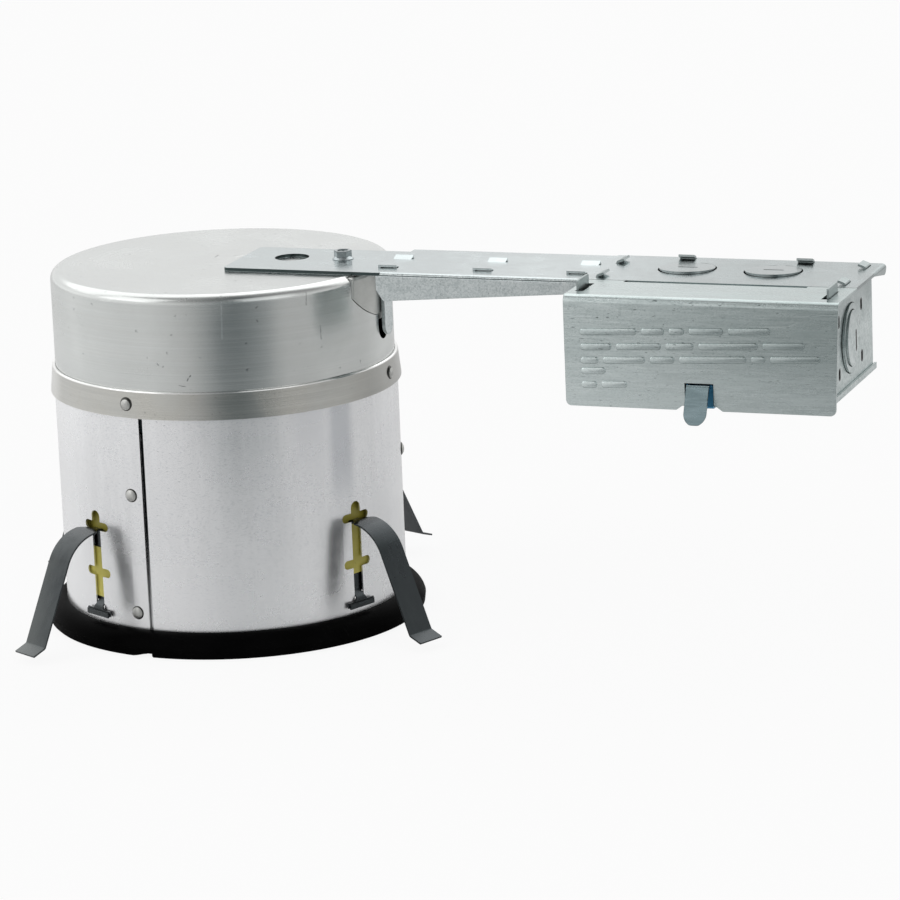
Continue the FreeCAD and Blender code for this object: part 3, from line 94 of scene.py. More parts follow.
def remap(tree, value, low, high, newLow=0.0, newHigh=1.0, smooth=True):
    settings = {"interpolation_type": "SMOOTHSTEP" if smooth else "LINEAR"}
    inputs = {"Value": value, "From Min": low, "From Max": high, "To Min": newLow, "To Max": newHigh}
    return addNode(tree, "ShaderNodeMapRange", settings, inputs).outputs["Result"]


def stretched(tree, vector, scale):
    return addNode(tree, "ShaderNodeMapping", None, {"Vector": vector, "Scale": scale}).outputs["Vector"]


def noise(tree, vector, scale, detail=3.0, roughness=0.5, distortion=0.0):
    inputs = {"Vector": vector, "Scale": scale, "Detail": detail, "Roughness": roughness,
              "Distortion": distortion}
    return addNode(tree, "ShaderNodeTexNoise", None, inputs).outputs["Fac"]


def noiseColour(tree, vector, scale):
    inputs = {"Vector": vector, "Scale": scale, "Detail": 2.0}
    return addNode(tree, "ShaderNodeTexNoise", None, inputs).outputs["Color"]


def newGroup(name, takes, gives):
    group = bpy.data.node_groups.new(name, "ShaderNodeTree")
    for label, kind, value in takes:
        socket = group.interface.new_socket(name=label, in_out="INPUT", socket_type=kind)
        if value is not None:
            socket.default_value = value
    for label in gives:
        group.interface.new_socket(name=label, in_out="OUTPUT", socket_type="NodeSocketFloat")
    return group, group.nodes.new("NodeGroupInput").outputs, group.nodes.new("NodeGroupOutput").inputs


def useGroup(tree, group, inputs):
    return addNode(tree, "ShaderNodeGroup", {"node_tree": group}, inputs).outputs


# Effects that several metals share

# worn edges: partly real wear, partly a painted highlight along edges that catch the light
def buildEdgeWear():
    group, takes, gives = newGroup("edgeWear", [
        ("Vector", "NodeSocketVector", None),
        ("Radius", "NodeSocketFloat", 0.0006),
        ("Patchiness", "NodeSocketFloat", 120.0),
    ], ["Wear", "Edge"])
    soft = addNode(group, "ShaderNodeBevel", {"samples": 6}, {"Radius": takes["Radius"]})
    sharp = addNode(group, "ShaderNodeNewGeometry")
    dot = vectorMaths(group, "DOT_PRODUCT", {0: soft.outputs["Normal"], 1: sharp.outputs["True Normal"]})
    edge = remap(group, dot["Value"], 0.995, 0.80)
    patches = remap(group, noise(group, takes["Vector"], takes["Patchiness"], 3, 0.6), 0.32, 0.62)
    group.links.new(maths(group, "MULTIPLY", edge, patches, clamp=True), gives["Wear"])
    group.links.new(edge, gives["Edge"])
    return group


def buildRolledGrain():
    # fine parallel lines: the caller stretches the vector along the lines
    group, takes, gives = newGroup("rolledGrain", [
        ("Vector", "NodeSocketVector", None),
    ], ["Lines", "Bands"])
    fine = noise(group, takes["Vector"], 1.0, 6, 0.65)
    coarse = noise(group, takes["Vector"], 0.17, 3, 0.5)
    group.links.new(remap(group, fine, 0.28, 0.72), gives["Lines"])
    group.links.new(remap(group, coarse, 0.3, 0.7), gives["Bands"])
    return group


def buildHandling():
    # smudges from hands and stacking, thin scratches and small dark pits
    group, takes, gives = newGroup("handling", [
        ("Vector", "NodeSocketVector", None),
        ("Smudge Size", "NodeSocketFloat", 30.0),
        ("Scratch Size", "NodeSocketFloat", 60.0),
        ("Pit Size", "NodeSocketFloat", 420.0),
        ("Pit Share", "NodeSocketFloat", 0.08),
    ], ["Smudges", "Scratches", "Pits"])
    vector = takes["Vector"]
    smudge = noise(group, vector, takes["Smudge Size"], 5, 0.62, 0.6)
    group.links.new(remap(group, smudge, 0.3, 0.72), gives["Smudges"])

    turned = addNode(group, "ShaderNodeMapping", None, {
        "Vector": vector, "Rotation": (0.5, 0.9, 0.4), "Scale": (1.0, 14.0, 1.0)}).outputs["Vector"]
    lines = noise(group, turned, takes["Scratch Size"], 2, 0.4, 0.8)
    thin = maths(group, "ABSOLUTE", maths(group, "SUBTRACT", lines, 0.5))
    patches = noise(group, vector, maths(group, "MULTIPLY", takes["Scratch Size"], 0.35), 2)
    mask = remap(group, patches, 0.54, 0.66)
    group.links.new(maths(group, "MULTIPLY", remap(group, thin, 0.012, 0.002), mask), gives["Scratches"])

    ragged = noiseColour(group, vector, maths(group, "MULTIPLY", takes["Pit Size"], 2.6))
    nudge = vectorMaths(group, "SUBTRACT", {0: ragged, 1: (0.5, 0.5, 0.5)})["Vector"]
    nudge = vectorMaths(group, "SCALE", {
        0: nudge, "Scale": maths(group, "DIVIDE", 0.9, takes["Pit Size"])})["Vector"]
    moved = vectorMaths(group, "ADD", {0: vector, 1: nudge})["Vector"]
    cells = addNode(group, "ShaderNodeTexVoronoi", None, {
        "Vector": moved, "Scale": takes["Pit Size"], "Randomness": 1.0})
    pick = addNode(group, "ShaderNodeSeparateColor", None, {0: cells.outputs["Color"]}).outputs
    size = remap(group, pick[1], 0.0, 1.0, 0.10, 0.30, False)
    spot = remap(group, maths(group, "SUBTRACT", size, cells.outputs["Distance"]), 0.0, 0.08)
    chosen = maths(group, "LESS_THAN", pick[0], takes["Pit Share"])
    group.links.new(maths(group, "MULTIPLY", spot, chosen), gives["Pits"])
    return group


def buildSpangle():
    # crystals of a zinc coat
    group, takes, gives = newGroup("zincSpangle", [
        ("Vector", "NodeSocketVector", None),
        ("Size", "NodeSocketFloat", 300.0),
    ], ["Crystals", "Grit"])
    moved = vectorMaths(group, "MULTIPLY_ADD", {
        0: noiseColour(group, takes["Vector"], 160.0), 1: (0.004, 0.004, 0.004),
        2: takes["Vector"]})["Vector"]
    cells = addNode(group, "ShaderNodeTexVoronoi", {"feature": "SMOOTH_F1"}, {
        "Vector": moved, "Scale": takes["Size"], "Smoothness": 0.25})
    pick = addNode(group, "ShaderNodeSeparateColor", None, {0: cells.outputs["Color"]}).outputs[1]
    group.links.new(remap(group, pick, 0.2, 0.8), gives["Crystals"])
    group.links.new(remap(group, noise(group, takes["Vector"], 1500.0, 3, 0.7), 0.3, 0.7), gives["Grit"])
    return group


def buildScuff():
    # one scratch or rub between two places on a surface
    group, takes, gives = newGroup("scuff", [
        ("Vector", "NodeSocketVector", None),
        ("From", "NodeSocketVector", None),
        ("To", "NodeSocketVector", None),
        ("Width", "NodeSocketFloat", 0.0003),
    ], ["Mark"])
    wobbly = vectorMaths(group, "MULTIPLY_ADD", {
        0: noiseColour(group, takes["Vector"], 900.0), 1: (0.0006, 0.0006, 0.0006),
        2: takes["Vector"]})["Vector"]
    away = vectorMaths(group, "SUBTRACT", {0: wobbly, 1: takes["From"]})["Vector"]
    along = vectorMaths(group, "SUBTRACT", {0: takes["To"], 1: takes["From"]})["Vector"]
    reach = vectorMaths(group, "DOT_PRODUCT", {0: away, 1: along})["Value"]
    whole = vectorMaths(group, "DOT_PRODUCT", {0: along, 1: along})["Value"]
    share = maths(group, "DIVIDE", reach, whole, clamp=True)
    nearest = vectorMaths(group, "SCALE", {0: along, "Scale": share})["Vector"]
    gap = vectorMaths(group, "DISTANCE", {0: away, 1: nearest})["Value"]
    line = remap(group, maths(group, "DIVIDE", gap, takes["Width"]), 1.0, 0.35)
    broken = remap(group, noise(group, takes["Vector"], 700.0, 3, 0.7), 0.34, 0.5)
    group.links.new(maths(group, "MULTIPLY", line, broken), gives["Mark"])
    return group


wearGlintGroup = buildEdgeWear()
grainGroup = buildRolledGrain()
handlingGroup = buildHandling()
spangleGroup = buildSpangle()
scuffGroup = buildScuff()


# Metal finishes

# what a finish has where its own dictionary says nothing
plainFinish = {
    "markShape": (1, 1, 1), "speckleShape": (1, 1, 1), "pitShare": 0.08, "wearWidth": 0.0005,
    "patches": 130.0,
    "bandAmount": 0.4, "smudgeAmount": 0.35, "pitAmount": 0.5, "scratchAmount": 0.4, "wearGlintAmount": 0.7,
    "edgeAmount": 0.7, "speckleTop": 1.0, "levelLightAmount": 0.75, "underShadeAmount": 0.7,
    "lineDepth": 0.3, "pitDepth": 0.8, "scratchDepth": 0.5, "gritDepth": 0.2, "speckleDepth": 0.4,
    "roughSpread": 0.06, "lineRough": 0.06, "wornShine": 0.08, "bumpDepth": 0.00008,
    "metallic": 1.0, "shine": 0.5, "coatRough": 0.3,
    "scuffs": [], "paintedLightRamps": [], "shadedSlots": [], "reflectionStreaks": [],
}
placeTints = {
    "cut": (0.06, 0.08, 0.08, 1),           # sheared sides of the arm's sheet
    "gap": (0.012, 0.016, 0.018, 1),        # painted shade in the slit beside a lapped seam
    "hole": (0.004, 0.005, 0.005, 1),       # painted shade in the slots of the end walls
}
gapDepth = 0.00012      # the slit starts this far inside the outer radius


def readSurface(tree):
    place = addNode(tree, "ShaderNodeTexCoord").outputs["Object"]
    where = addNode(tree, "ShaderNodeSeparateXYZ", None, {0: place}).outputs
    normal = addNode(tree, "ShaderNodeNewGeometry").outputs["Normal"]
    facing = addNode(tree, "ShaderNodeSeparateXYZ", None, {0: normal}).outputs
    return {"place": place, "where": where, "facing": facing}


def onLevel(tree, surface, elsewhere, level):
    # one amount where a face lies level, another on all the others
    return remap(tree, surface["facing"][2], 0.8, 0.97, elsewhere, level)


def fromAxis(tree, surface):
    return vectorMaths(tree, "LENGTH", {0: stretched(tree, surface["place"], (1, 1, 0))})["Value"]


def offAngle(tree, surface, degrees):
    # how far round the can a place is from a direction
    turn = maths(tree, "ARCTAN2", surface["where"][1], surface["where"][0])
    return maths(tree, "ABSOLUTE", maths(tree, "SUBTRACT", turn, math.radians(degrees)))


def grainVector(tree, surface, look):
    # "along" stretches the grain, so its lines run along the small number
    straight = stretched(tree, surface["place"], look["along"])
    if "spun" not in look:
        return straight
    # flat top: the lines run round the axis
    ring = addNode(tree, "ShaderNodeCombineXYZ", None, {
        0: maths(tree, "MULTIPLY", fromAxis(tree, surface), look["spun"])}).outputs[0]
    flat = remap(tree, surface["facing"][2], 0.6, 0.95)
    return addNode(tree, "ShaderNodeMix", {"data_type": "VECTOR"}, {0: flat, 4: straight, 5: ring}).outputs[1]


def addZinc(tree, surface, look, tone, height):
    # crystals of the zinc coat, and fine dark specks
    if "spangle" in look:
        zinc = useGroup(tree, spangleGroup, {"Vector": surface["place"], "Size": look["spangle"]})
        amount = onLevel(tree, surface, look["spangleAmount"], look["spangleTop"])
        tone = tinted(tree, tone, look["crystal"], zinc["Crystals"], amount)
        height = maths(tree, "MULTIPLY_ADD", zinc["Grit"], look["gritDepth"], height)
    if "speckle" in look:
        grit = noise(tree, stretched(tree, surface["place"], look["speckleShape"]), look["speckle"], 2, 0.7)
        specks = maths(tree, "MULTIPLY", remap(tree, grit, 0.54, 0.66),
                       onLevel(tree, surface, 1.0, look["speckleTop"]))
        tone = tinted(tree, tone, look["speckleTint"], specks, look["speckleAmount"])
        height = maths(tree, "MULTIPLY_ADD", specks, -look["speckleDepth"], height)
    return tone, height


def addEdges(tree, surface, look, tone, edges):
    # lighter worn edges, partly a painted highlight where sheet edges catch the light
    tone = tinted(tree, tone, look["bright"], edges["Wear"], look["wearGlintAmount"])
    if "edgeDullShade" in look:      # dull sheared edges, and painted shade outlining edges and bends
        tone = tinted(tree, tone, look["edgeDullShade"], edges["Edge"], look["edgeAmount"])
    if "cutAbove" in look:      # sheared sides that no light reaches from the front
        low, high = look["cutAbove"]
        side = remap(tree, maths(tree, "ABSOLUTE", surface["facing"][2]), 0.55, 0.35)
        over = maths(tree, "GREATER_THAN", surface["where"][2], low)
        band = maths(tree, "MULTIPLY", over, maths(tree, "LESS_THAN", surface["where"][2], high))
        tone = tinted(tree, tone, placeTints["cut"], side, band)
    return tone


def addPlaces(tree, surface, look, tone):
    # marks and tints that belong to one place or direction, and painted light and shade
    where = surface["where"]
    upward = surface["facing"][2]
    for start, stop, width, strength, tint in look["scuffs"]:
        scuff = {"Vector": surface["place"], "From": start, "To": stop, "Width": width}
        tone = tinted(tree, tone, look[tint], useGroup(tree, scuffGroup, scuff)["Mark"], strength)
    if "seamShade" in look:       # painted shade in the seam's slit: angle, half width, outer radius and top of the slit
        angle, half, outer, top = look["seamShade"]
        inside = maths(tree, "LESS_THAN", offAngle(tree, surface, angle), half / outer)
        deep = maths(tree, "MULTIPLY", maths(tree, "LESS_THAN", fromAxis(tree, surface), outer - gapDepth),
                     maths(tree, "LESS_THAN", where[2], top))
        tone = tinted(tree, tone, placeTints["gap"], inside, deep)
    if "levelLightTint" in look:       # painted light and shade: what lies level gets its own lighter or darker tint
        tone = mixColours(tree, onLevel(tree, surface, 0.0, look["levelLightAmount"]), tone, look["levelLightTint"])
    if "underShadeTint" in look:     # painted shade below edges and raised parts, on faces that look downward
        under = remap(tree, upward, -0.12, -0.55, 0.0, look["underShadeAmount"])
        tone = mixColours(tree, under, tone, look["underShadeTint"])
    for axis, start, stop, tint, amount in look["paintedLightRamps"]:      # painted light and shade: slow changes along one axis
        tone = mixColours(tree, remap(tree, where[axis], start, stop, 0.0, amount), tone, tint)
    for y, z, half, width in look["shadedSlots"]:        # painted shade: black patches over the upright slots in the end walls
        over = maths(tree, "SUBTRACT", maths(tree, "ABSOLUTE", maths(tree, "SUBTRACT", where[2], z)), half)
        away = addNode(tree, "ShaderNodeCombineXYZ", None, {
            0: maths(tree, "SUBTRACT", where[1], y), 1: maths(tree, "MAXIMUM", over, 0.0)}).outputs[0]
        hole = maths(tree, "LESS_THAN", vectorMaths(tree, "LENGTH", {0: away})["Value"], width)
        tone = mixColours(tree, hole, tone, placeTints["hole"])
    for angle, half, low, high, tint in look["reflectionStreaks"]:        # painted reflections: soft upright streaks round the can
        across = remap(tree, offAngle(tree, surface, angle), math.radians(half), math.radians(half * 0.3))
        tone = tinted(tree, tone, tint, across, remap(tree, where[2], low, high))
    if "rim" in look:           # painted shade: dark ring where a rivet's head meets the wall
        close = maths(tree, "LESS_THAN", fromAxis(tree, surface), look["rim"])
        tone = mixColours(tree, close, tone, look["edgeDullShade"])
    if "behind" in look:        # another tint on what lies behind a plane across Y
        depth, tint = look["behind"]
        tone = mixColours(tree, maths(tree, "GREATER_THAN", where[1], depth), tone, tint)
    return tone


def paintMetal(name, ownLook):
    look = dict(plainFinish, **ownLook)
    material = bpy.data.materials.new(name)
    material.use_nodes = True
    tree = material.node_tree
    shader = tree.nodes["Principled BSDF"]
    surface = readSurface(tree)
    grain = useGroup(tree, grainGroup, {"Vector": grainVector(tree, surface, look)})
    marks = useGroup(tree, handlingGroup, {
        "Vector": stretched(tree, surface["place"], look["markShape"]), "Smudge Size": look["smudge"],
        "Pit Size": look["pit"], "Pit Share": look["pitShare"]})
    edges = useGroup(tree, wearGlintGroup, {
        "Vector": surface["place"], "Radius": look["wearWidth"], "Patchiness": look["patches"]})

    tone = mixColours(tree, grain["Lines"], look["dark"], look["light"])
    tone = tinted(tree, tone, look["band"], grain["Bands"], look["bandAmount"])
    tone = tinted(tree, tone, look["stain"], marks["Smudges"], look["smudgeAmount"])
    height = maths(tree, "MULTIPLY", grain["Lines"], look["lineDepth"])
    tone, height = addZinc(tree, surface, look, tone, height)
    tone = tinted(tree, tone, look["pitColour"], marks["Pits"], look["pitAmount"])
    tone = tinted(tree, tone, look["bright"], marks["Scratches"], look["scratchAmount"])
    tone = addEdges(tree, surface, look, tone, edges)
    tone = addPlaces(tree, surface, look, tone)
    height = maths(tree, "MULTIPLY_ADD", marks["Pits"], -look["pitDepth"], height)
    height = maths(tree, "MULTIPLY_ADD", marks["Scratches"], -look["scratchDepth"], height)

    smoothest, roughest = look["rough"] - look["roughSpread"], look["rough"] + look["roughSpread"]
    rough = remap(tree, marks["Smudges"], 0.0, 1.0, smoothest, roughest, False)
    rough = maths(tree, "MULTIPLY_ADD", grain["Lines"], look["lineRough"], rough)
    rough = maths(tree, "MULTIPLY_ADD", edges["Wear"], -look["wornShine"], rough, clamp=True)
    bump = addNode(tree, "ShaderNodeBump", None, {
        "Strength": look["bump"], "Distance": look["bumpDepth"], "Height": height})
    tree.links.new(tone, shader.inputs["Base Color"])
    tree.links.new(rough, shader.inputs["Roughness"])
    tree.links.new(bump.outputs["Normal"], shader.inputs["Normal"])
    shader.inputs["Metallic"].default_value = look["metallic"]
    shader.inputs["Specular IOR Level"].default_value = look["shine"]
    if "coat" in look:
        shader.inputs["Coat Weight"].default_value = look["coat"]
        shader.inputs["Coat Roughness"].default_value = look["coatRough"]
    material.diffuse_color = look["light"]
    return material


def dress(material, *names):
    for name in names:
        piece = nodes[name]
        if not piece.data.materials:
            piece.data.materials.append(material)
        for slot in piece.material_slots:
            slot.material = material


# Can

capLook = {
    "dark": (0.60, 0.62, 0.61, 1), "light": (0.69, 0.71, 0.70, 1), "band": (0.62, 0.63, 0.61, 1),
    "stain": (0.55, 0.57, 0.56, 1), "bright": (0.90, 0.91, 0.90, 1), "pitColour": (0.14, 0.15, 0.15, 1),
    "along": (9, 9, 2600), "spun": 1700, "rough": 0.21, "bump": 0.16, "lineRough": 0.05,
    "smudge": 26, "smudgeAmount": 0.35, "pitAmount": 0.5, "pit": 420, "scratchAmount": 0.12,
    "bandAmount": 0.35, "wearGlintAmount": 0.25, "seamShade": (-97.2, 0.0010, 0.0774, 0.1189),
    "scuffs": [     # from, to, width, strength, tint
        ((0.02975, -0.07113, 0.16085), (0.02935, -0.07130, 0.14388), 0.00055, 0.7, "bright"),
        ((0.01362, -0.07589, 0.12545), (0.01506, -0.07561, 0.12770), 0.00050, 0.9, "pitColour"),
        ((0.00993, -0.07646, 0.12318), (0.01259, -0.07607, 0.12275), 0.00045, 0.9, "pitColour"),
        ((0.07413, -0.02120, 0.12431), (0.07411, -0.02127, 0.12341), 0.00060, 0.8, "pitColour"),
        ((0.06428, -0.04258, 0.14462), (0.06439, -0.04241, 0.13872), 0.00050, 0.5, "pitColour"),
        ((0.06052, -0.04777, 0.16135), (0.06031, -0.04803, 0.15512), 0.00045, 0.5, "pitColour"),
        ((-0.0049, 0.0068, 0.16285), (-0.0053, 0.0113, 0.16285), 0.00080, 0.6, "pitColour"),
        ((0.0048, 0.0083, 0.16285), (0.0068, 0.0131, 0.16285), 0.00080, 0.7, "bright"),
    ],
}
shellLook = {
    "dark": (0.82, 0.825, 0.835, 1), "light": (0.89, 0.895, 0.905, 1), "band": (0.86, 0.865, 0.875, 1),
    "stain": (0.70, 0.71, 0.73, 1), "bright": (0.97, 0.97, 0.97, 1), "pitColour": (0.30, 0.31, 0.33, 1),
    "along": (260, 260, 22), "rough": 0.245, "bump": 0.10, "lineDepth": 0.12, "lineRough": 0.03,
    "smudge": 22, "smudgeAmount": 0.15, "pitDepth": 0.2, "speckle": 1200, "speckleShape": (0.6, 0.6, 1.6),
    "speckleAmount": 0.5, "speckleTint": (0.58, 0.60, 0.63, 1),
    # painted light: the shell lighter towards the floor and on its left side
    "paintedLightRamps": [(2, 0.06, 0.0, (0.97, 0.975, 0.985, 1), 0.8), (0, -0.03, -0.07, (0.985, 0.99, 1.0, 1), 0.85)],
    "pit": 900, "markShape": (0.6, 0.6, 1.5), "pitAmount": 0.5, "scratchAmount": 0.2, "bandAmount": 0.3,
    # painted reflections: two darker upright streaks
    "reflectionStreaks": [(-28.0, 7.0, 0.050, 0.085, (0.60, 0.615, 0.64, 1)),
                (-40.0, 9.0, 0.060, 0.110, (0.74, 0.75, 0.77, 1))],
    "wearGlintAmount": 0.8, "seamShade": (-97.2, 0.0010, 0.0780, 0.2), "metallic": 0.88, "pitShare": 0.10,
    "scuffs": [
        ((-0.04297, -0.06509, 0.02456), (-0.04229, -0.06554, 0.01678), 0.00070, 0.8, "bright"),
        ((-0.03198, -0.07114, 0.02500), (-0.03126, -0.07146, 0.01861), 0.00070, 0.8, "bright"),
        ((0.04578, -0.06316, 0.01562), (0.04826, -0.06127, 0.01338), 0.00045, 0.6, "pitColour"),
    ],
}
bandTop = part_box("joint_band")[1][2]
bandLook = {
    "dark": (0.46, 0.465, 0.445, 1), "light": (0.58, 0.58, 0.555, 1), "band": (0.50, 0.50, 0.475, 1),
    "stain": (0.50, 0.475, 0.42, 1), "bright": (0.95, 0.95, 0.94, 1), "pitColour": (0.22, 0.22, 0.21, 1),
    "along": (14, 14, 2200), "rough": 0.20, "bump": 0.16, "smudge": 40, "smudgeAmount": 0.35,
    "pitAmount": 0.4, "pit": 620, "wearGlintAmount": 0.9, "wearWidth": 0.0004,
    # painted light and shade: the band darker at its right end, lighter at its left, with a painted highlight
    # along its top lip
    "paintedLightRamps": [(0, 0.070, 0.080, (0.34, 0.34, 0.325, 1), 0.6),
               (0, -0.055, -0.066, (0.80, 0.80, 0.77, 1), 0.6),
               (2, bandTop - 0.0009, bandTop - 0.0004, (0.97, 0.97, 0.96, 1), 0.8)],
}
rivetLook = {
    "dark": (0.46, 0.465, 0.45, 1), "light": (0.62, 0.62, 0.60, 1), "band": (0.54, 0.54, 0.52, 1),
    "stain": (0.36, 0.365, 0.35, 1), "bright": (0.80, 0.80, 0.78, 1), "pitColour": (0.2, 0.2, 0.2, 1),
    "along": (300, 300, 300), "rough": 0.36, "bump": 0.3, "smudge": 260, "smudgeAmount": 0.5, "pit": 900,
    "edgeDullShade": (0.07, 0.07, 0.065, 1), "edgeAmount": 0.8, "wearWidth": 0.0006, "wearGlintAmount": 0.0,
}
ringLook = {
    "dark": (0.0010, 0.0010, 0.0011, 1), "light": (0.0018, 0.0018, 0.0019, 1),
    "band": (0.002, 0.002, 0.002, 1),
    "stain": (0.004, 0.004, 0.004, 1), "bright": (0.02, 0.02, 0.02, 1), "pitColour": (0.002, 0.002, 0.002, 1),
    "along": (60, 60, 90), "rough": 0.40, "bump": 0.2, "lineDepth": 0.2, "smudge": 34, "smudgeAmount": 0.35,
    "pit": 700, "pitAmount": 0.3, "scratchAmount": 0.15, "wearGlintAmount": 0.3, "metallic": 0.0, "shine": 0.008,
}
coverGreyLook = {
    "dark": (0.52, 0.53, 0.51, 1), "light": (0.62, 0.63, 0.61, 1), "band": (0.57, 0.58, 0.56, 1),
    "stain": (0.47, 0.48, 0.46, 1), "bright": (0.92, 0.92, 0.90, 1), "pitColour": (0.24, 0.24, 0.24, 1),
    "along": (90, 90, 240), "rough": 0.36, "bump": 0.15, "smudge": 60, "smudgeAmount": 0.3, "pit": 500,
    "pitAmount": 0.2, "wearGlintAmount": 0.8, "wearWidth": 0.0008,
}
dress(paintMetal("spunAluminium", capLook), "can_cap")
dress(paintMetal("satinAluminium", shellLook), "body_shell")
dress(paintMetal("brushedBand", bandLook), "joint_band")
# painted shade: a dark ring round the foot of each rivet head
dress(paintMetal("rivetAluminium", dict(rivetLook, rim=0.07848)), "seam_rivets", "bracket_rivets")
dress(paintMetal("bandRivet", dict(rivetLook, rim=0.07975)), "band_rivets")
dress(paintMetal("blackEnamel", ringLook), "flange_ring")
dress(paintMetal("pressedGrey", coverGreyLook), "port_cover")
print("can painted")


# Arm and junction box

plateLook = {
    "dark": (0.50, 0.55, 0.555, 1), "light": (0.63, 0.68, 0.685, 1), "band": (0.54, 0.59, 0.595, 1),
    "stain": (0.42, 0.47, 0.47, 1), "bright": (0.86, 0.89, 0.88, 1), "pitColour": (0.12, 0.14, 0.14, 1),
    # painted shade: the arm's level top a little darker
    "levelLightTint": (0.50, 0.55, 0.555, 1), "crystal": (0.78, 0.82, 0.82, 1), "along": (60, 500, 500),
    "rough": 0.19, "bump": 0.16, "lineDepth": 0.12, "smudge": 90, "smudgeAmount": 0.35,
    "spangle": 1500, "spangleAmount": 0.45, "spangleTop": 0.12, "pit": 900,
    "speckle": 1100, "speckleAmount": 0.4, "speckleTint": (0.24, 0.28, 0.28, 1), "speckleTop": 0.15,
    "pitAmount": 0.55, "scratchAmount": 0.35, "wearGlintAmount": 0.0, "edgeDullShade": (0.07, 0.09, 0.09, 1),
    "edgeAmount": 0.75, "wearWidth": 0.00035, "cutAbove": (0.16295, 0.16442),
    # painted shade: the arm darker towards the box
    "paintedLightRamps": [(0, 0.15, 0.25, (0.25, 0.29, 0.29, 1), 0.76)],
}
boxLook = {
    "dark": (0.46, 0.52, 0.515, 1), "light": (0.60, 0.66, 0.655, 1), "band": (0.51, 0.57, 0.565, 1),
    "stain": (0.38, 0.44, 0.435, 1), "bright": (0.88, 0.91, 0.90, 1), "pitColour": (0.09, 0.11, 0.11, 1),
    "crystal": (0.76, 0.82, 0.815, 1), "along": (60, 60, 1300), "rough": 0.31, "bump": 0.35,
    "lineDepth": 0.15, "smudge": 110, "smudgeAmount": 0.5,
    "spangle": 1000, "spangleAmount": 0.42, "spangleTop": 0.25, "pit": 900,
    "pitAmount": 0.7, "pitShare": 0.12, "markShape": (0.45, 1, 1.3), "scratchAmount": 0.25, "wearGlintAmount": 0.0,
    "edgeDullShade": (0.06, 0.08, 0.08, 1), "edgeAmount": 0.75, "wearWidth": 0.00035,
    # painted shade: the box darker towards its top, and darker on its level faces
    "paintedLightRamps": [(2, 0.138, 0.160, (0.28, 0.32, 0.32, 1), 0.6)], "levelLightTint": (0.24, 0.28, 0.275, 1),
    # painted shade: black patches a little wider than the slots
    "shadedSlots": [(-0.0286, 0.1280, 0.0011, 0.0017), (0.0092, 0.1280, 0.0011, 0.0017),
                   (-0.0286, 0.1510, 0.0011, 0.0017), (0.0092, 0.1510, 0.0011, 0.0017),
                   (-0.0020, 0.1374, 0.0036, 0.0014)],
}
coverLook = dict(boxLook, dark=(0.50, 0.57, 0.565, 1), light=(0.80, 0.87, 0.865, 1),
                 band=(0.62, 0.69, 0.685, 1), stain=(0.46, 0.53, 0.525, 1), along=(60, 900, 1300),
                 spangle=1300, spangleAmount=0.25, pit=800,
                 pitAmount=0.9, bump=0.45, markShape=(0.30, 1, 1.4), scratchAmount=0.15, rough=0.25,
                 edgeAmount=0.7, pitShare=0.26, shadedSlots=[], speckle=1300, speckleShape=(0.45, 1, 1.3),
                 speckleAmount=0.4, speckleTint=(0.26, 0.31, 0.31, 1), speckleTop=0.5,
                 # painted light and shade: level faces darker, downward faces dark, darker towards the right,
                 # lighter towards the bottom
                 levelLightTint=(0.37, 0.42, 0.415, 1), underShadeTint=(0.10, 0.13, 0.13, 1),
                 paintedLightRamps=[(0, 0.17, 0.31, (0.25, 0.30, 0.295, 1), 0.55),
                         (2, 0.150, 0.115, (0.86, 0.93, 0.925, 1), 0.4)])
latchLook = {
    "dark": (0.23, 0.31, 0.325, 1), "light": (0.36, 0.46, 0.49, 1), "band": (0.28, 0.37, 0.395, 1),
    "stain": (0.20, 0.27, 0.29, 1), "bright": (0.60, 0.65, 0.68, 1), "pitColour": (0.06, 0.08, 0.09, 1),
    "along": (60, 200, 500), "rough": 0.24, "bump": 0.2, "smudge": 90, "smudgeAmount": 0.5, "pit": 900,
    "pitAmount": 0.3, "wearGlintAmount": 0.0, "edgeDullShade": (0.05, 0.07, 0.08, 1), "wearWidth": 0.0004,
    # painted highlight: the latch's level fold lighter
    "levelLightTint": (0.80, 0.87, 0.89, 1), "behind": (-0.0543, (0.10, 0.28, 0.44, 1)),
}
screwLook = {
    "dark": (0.30, 0.34, 0.35, 1), "light": (0.50, 0.54, 0.55, 1), "band": (0.40, 0.44, 0.45, 1),
    "stain": (0.24, 0.27, 0.28, 1), "bright": (0.95, 0.96, 0.97, 1), "pitColour": (0.2, 0.22, 0.22, 1),
    "along": (300, 300, 500), "rough": 0.20, "bump": 0.2, "smudge": 300, "smudgeAmount": 0.5, "pit": 1200,
    "pitAmount": 0.2, "wearGlintAmount": 0.0, "wearWidth": 0.00035, "edgeDullShade": (0.03, 0.04, 0.04, 1),
    "edgeAmount": 0.85,
}
earthLook = {
    "dark": (0.015, 0.11, 0.04, 1), "light": (0.02, 0.17, 0.06, 1), "band": (0.02, 0.14, 0.05, 1),
    "stain": (0.012, 0.08, 0.03, 1), "bright": (0.45, 0.55, 0.45, 1), "pitColour": (0.01, 0.03, 0.01, 1),
    "along": (300, 300, 300), "rough": 0.3, "bump": 0.2, "smudge": 300, "pit": 1200, "metallic": 0.6,
    "wearWidth": 0.0003,
}
dress(paintMetal("galvanisedArm", plateLook), "mounting_plate", "arm_hook")
dress(paintMetal("galvanisedBox", boxLook), "box_shell", "box_bottom")
dress(paintMetal("galvanisedCover", coverLook), "box_cover")
dress(paintMetal("blueZinc", latchLook), "cover_latch")
zincScrew = paintMetal("zincScrew", screwLook)
dress(zincScrew, "plate_screw", "latch_rivet", "carrier_bolt", "wing_nut", "socket_screws")
dress(paintMetal("greenPlate", earthLook), "ground_screw")
print("arm and box painted")


# Clips and tape

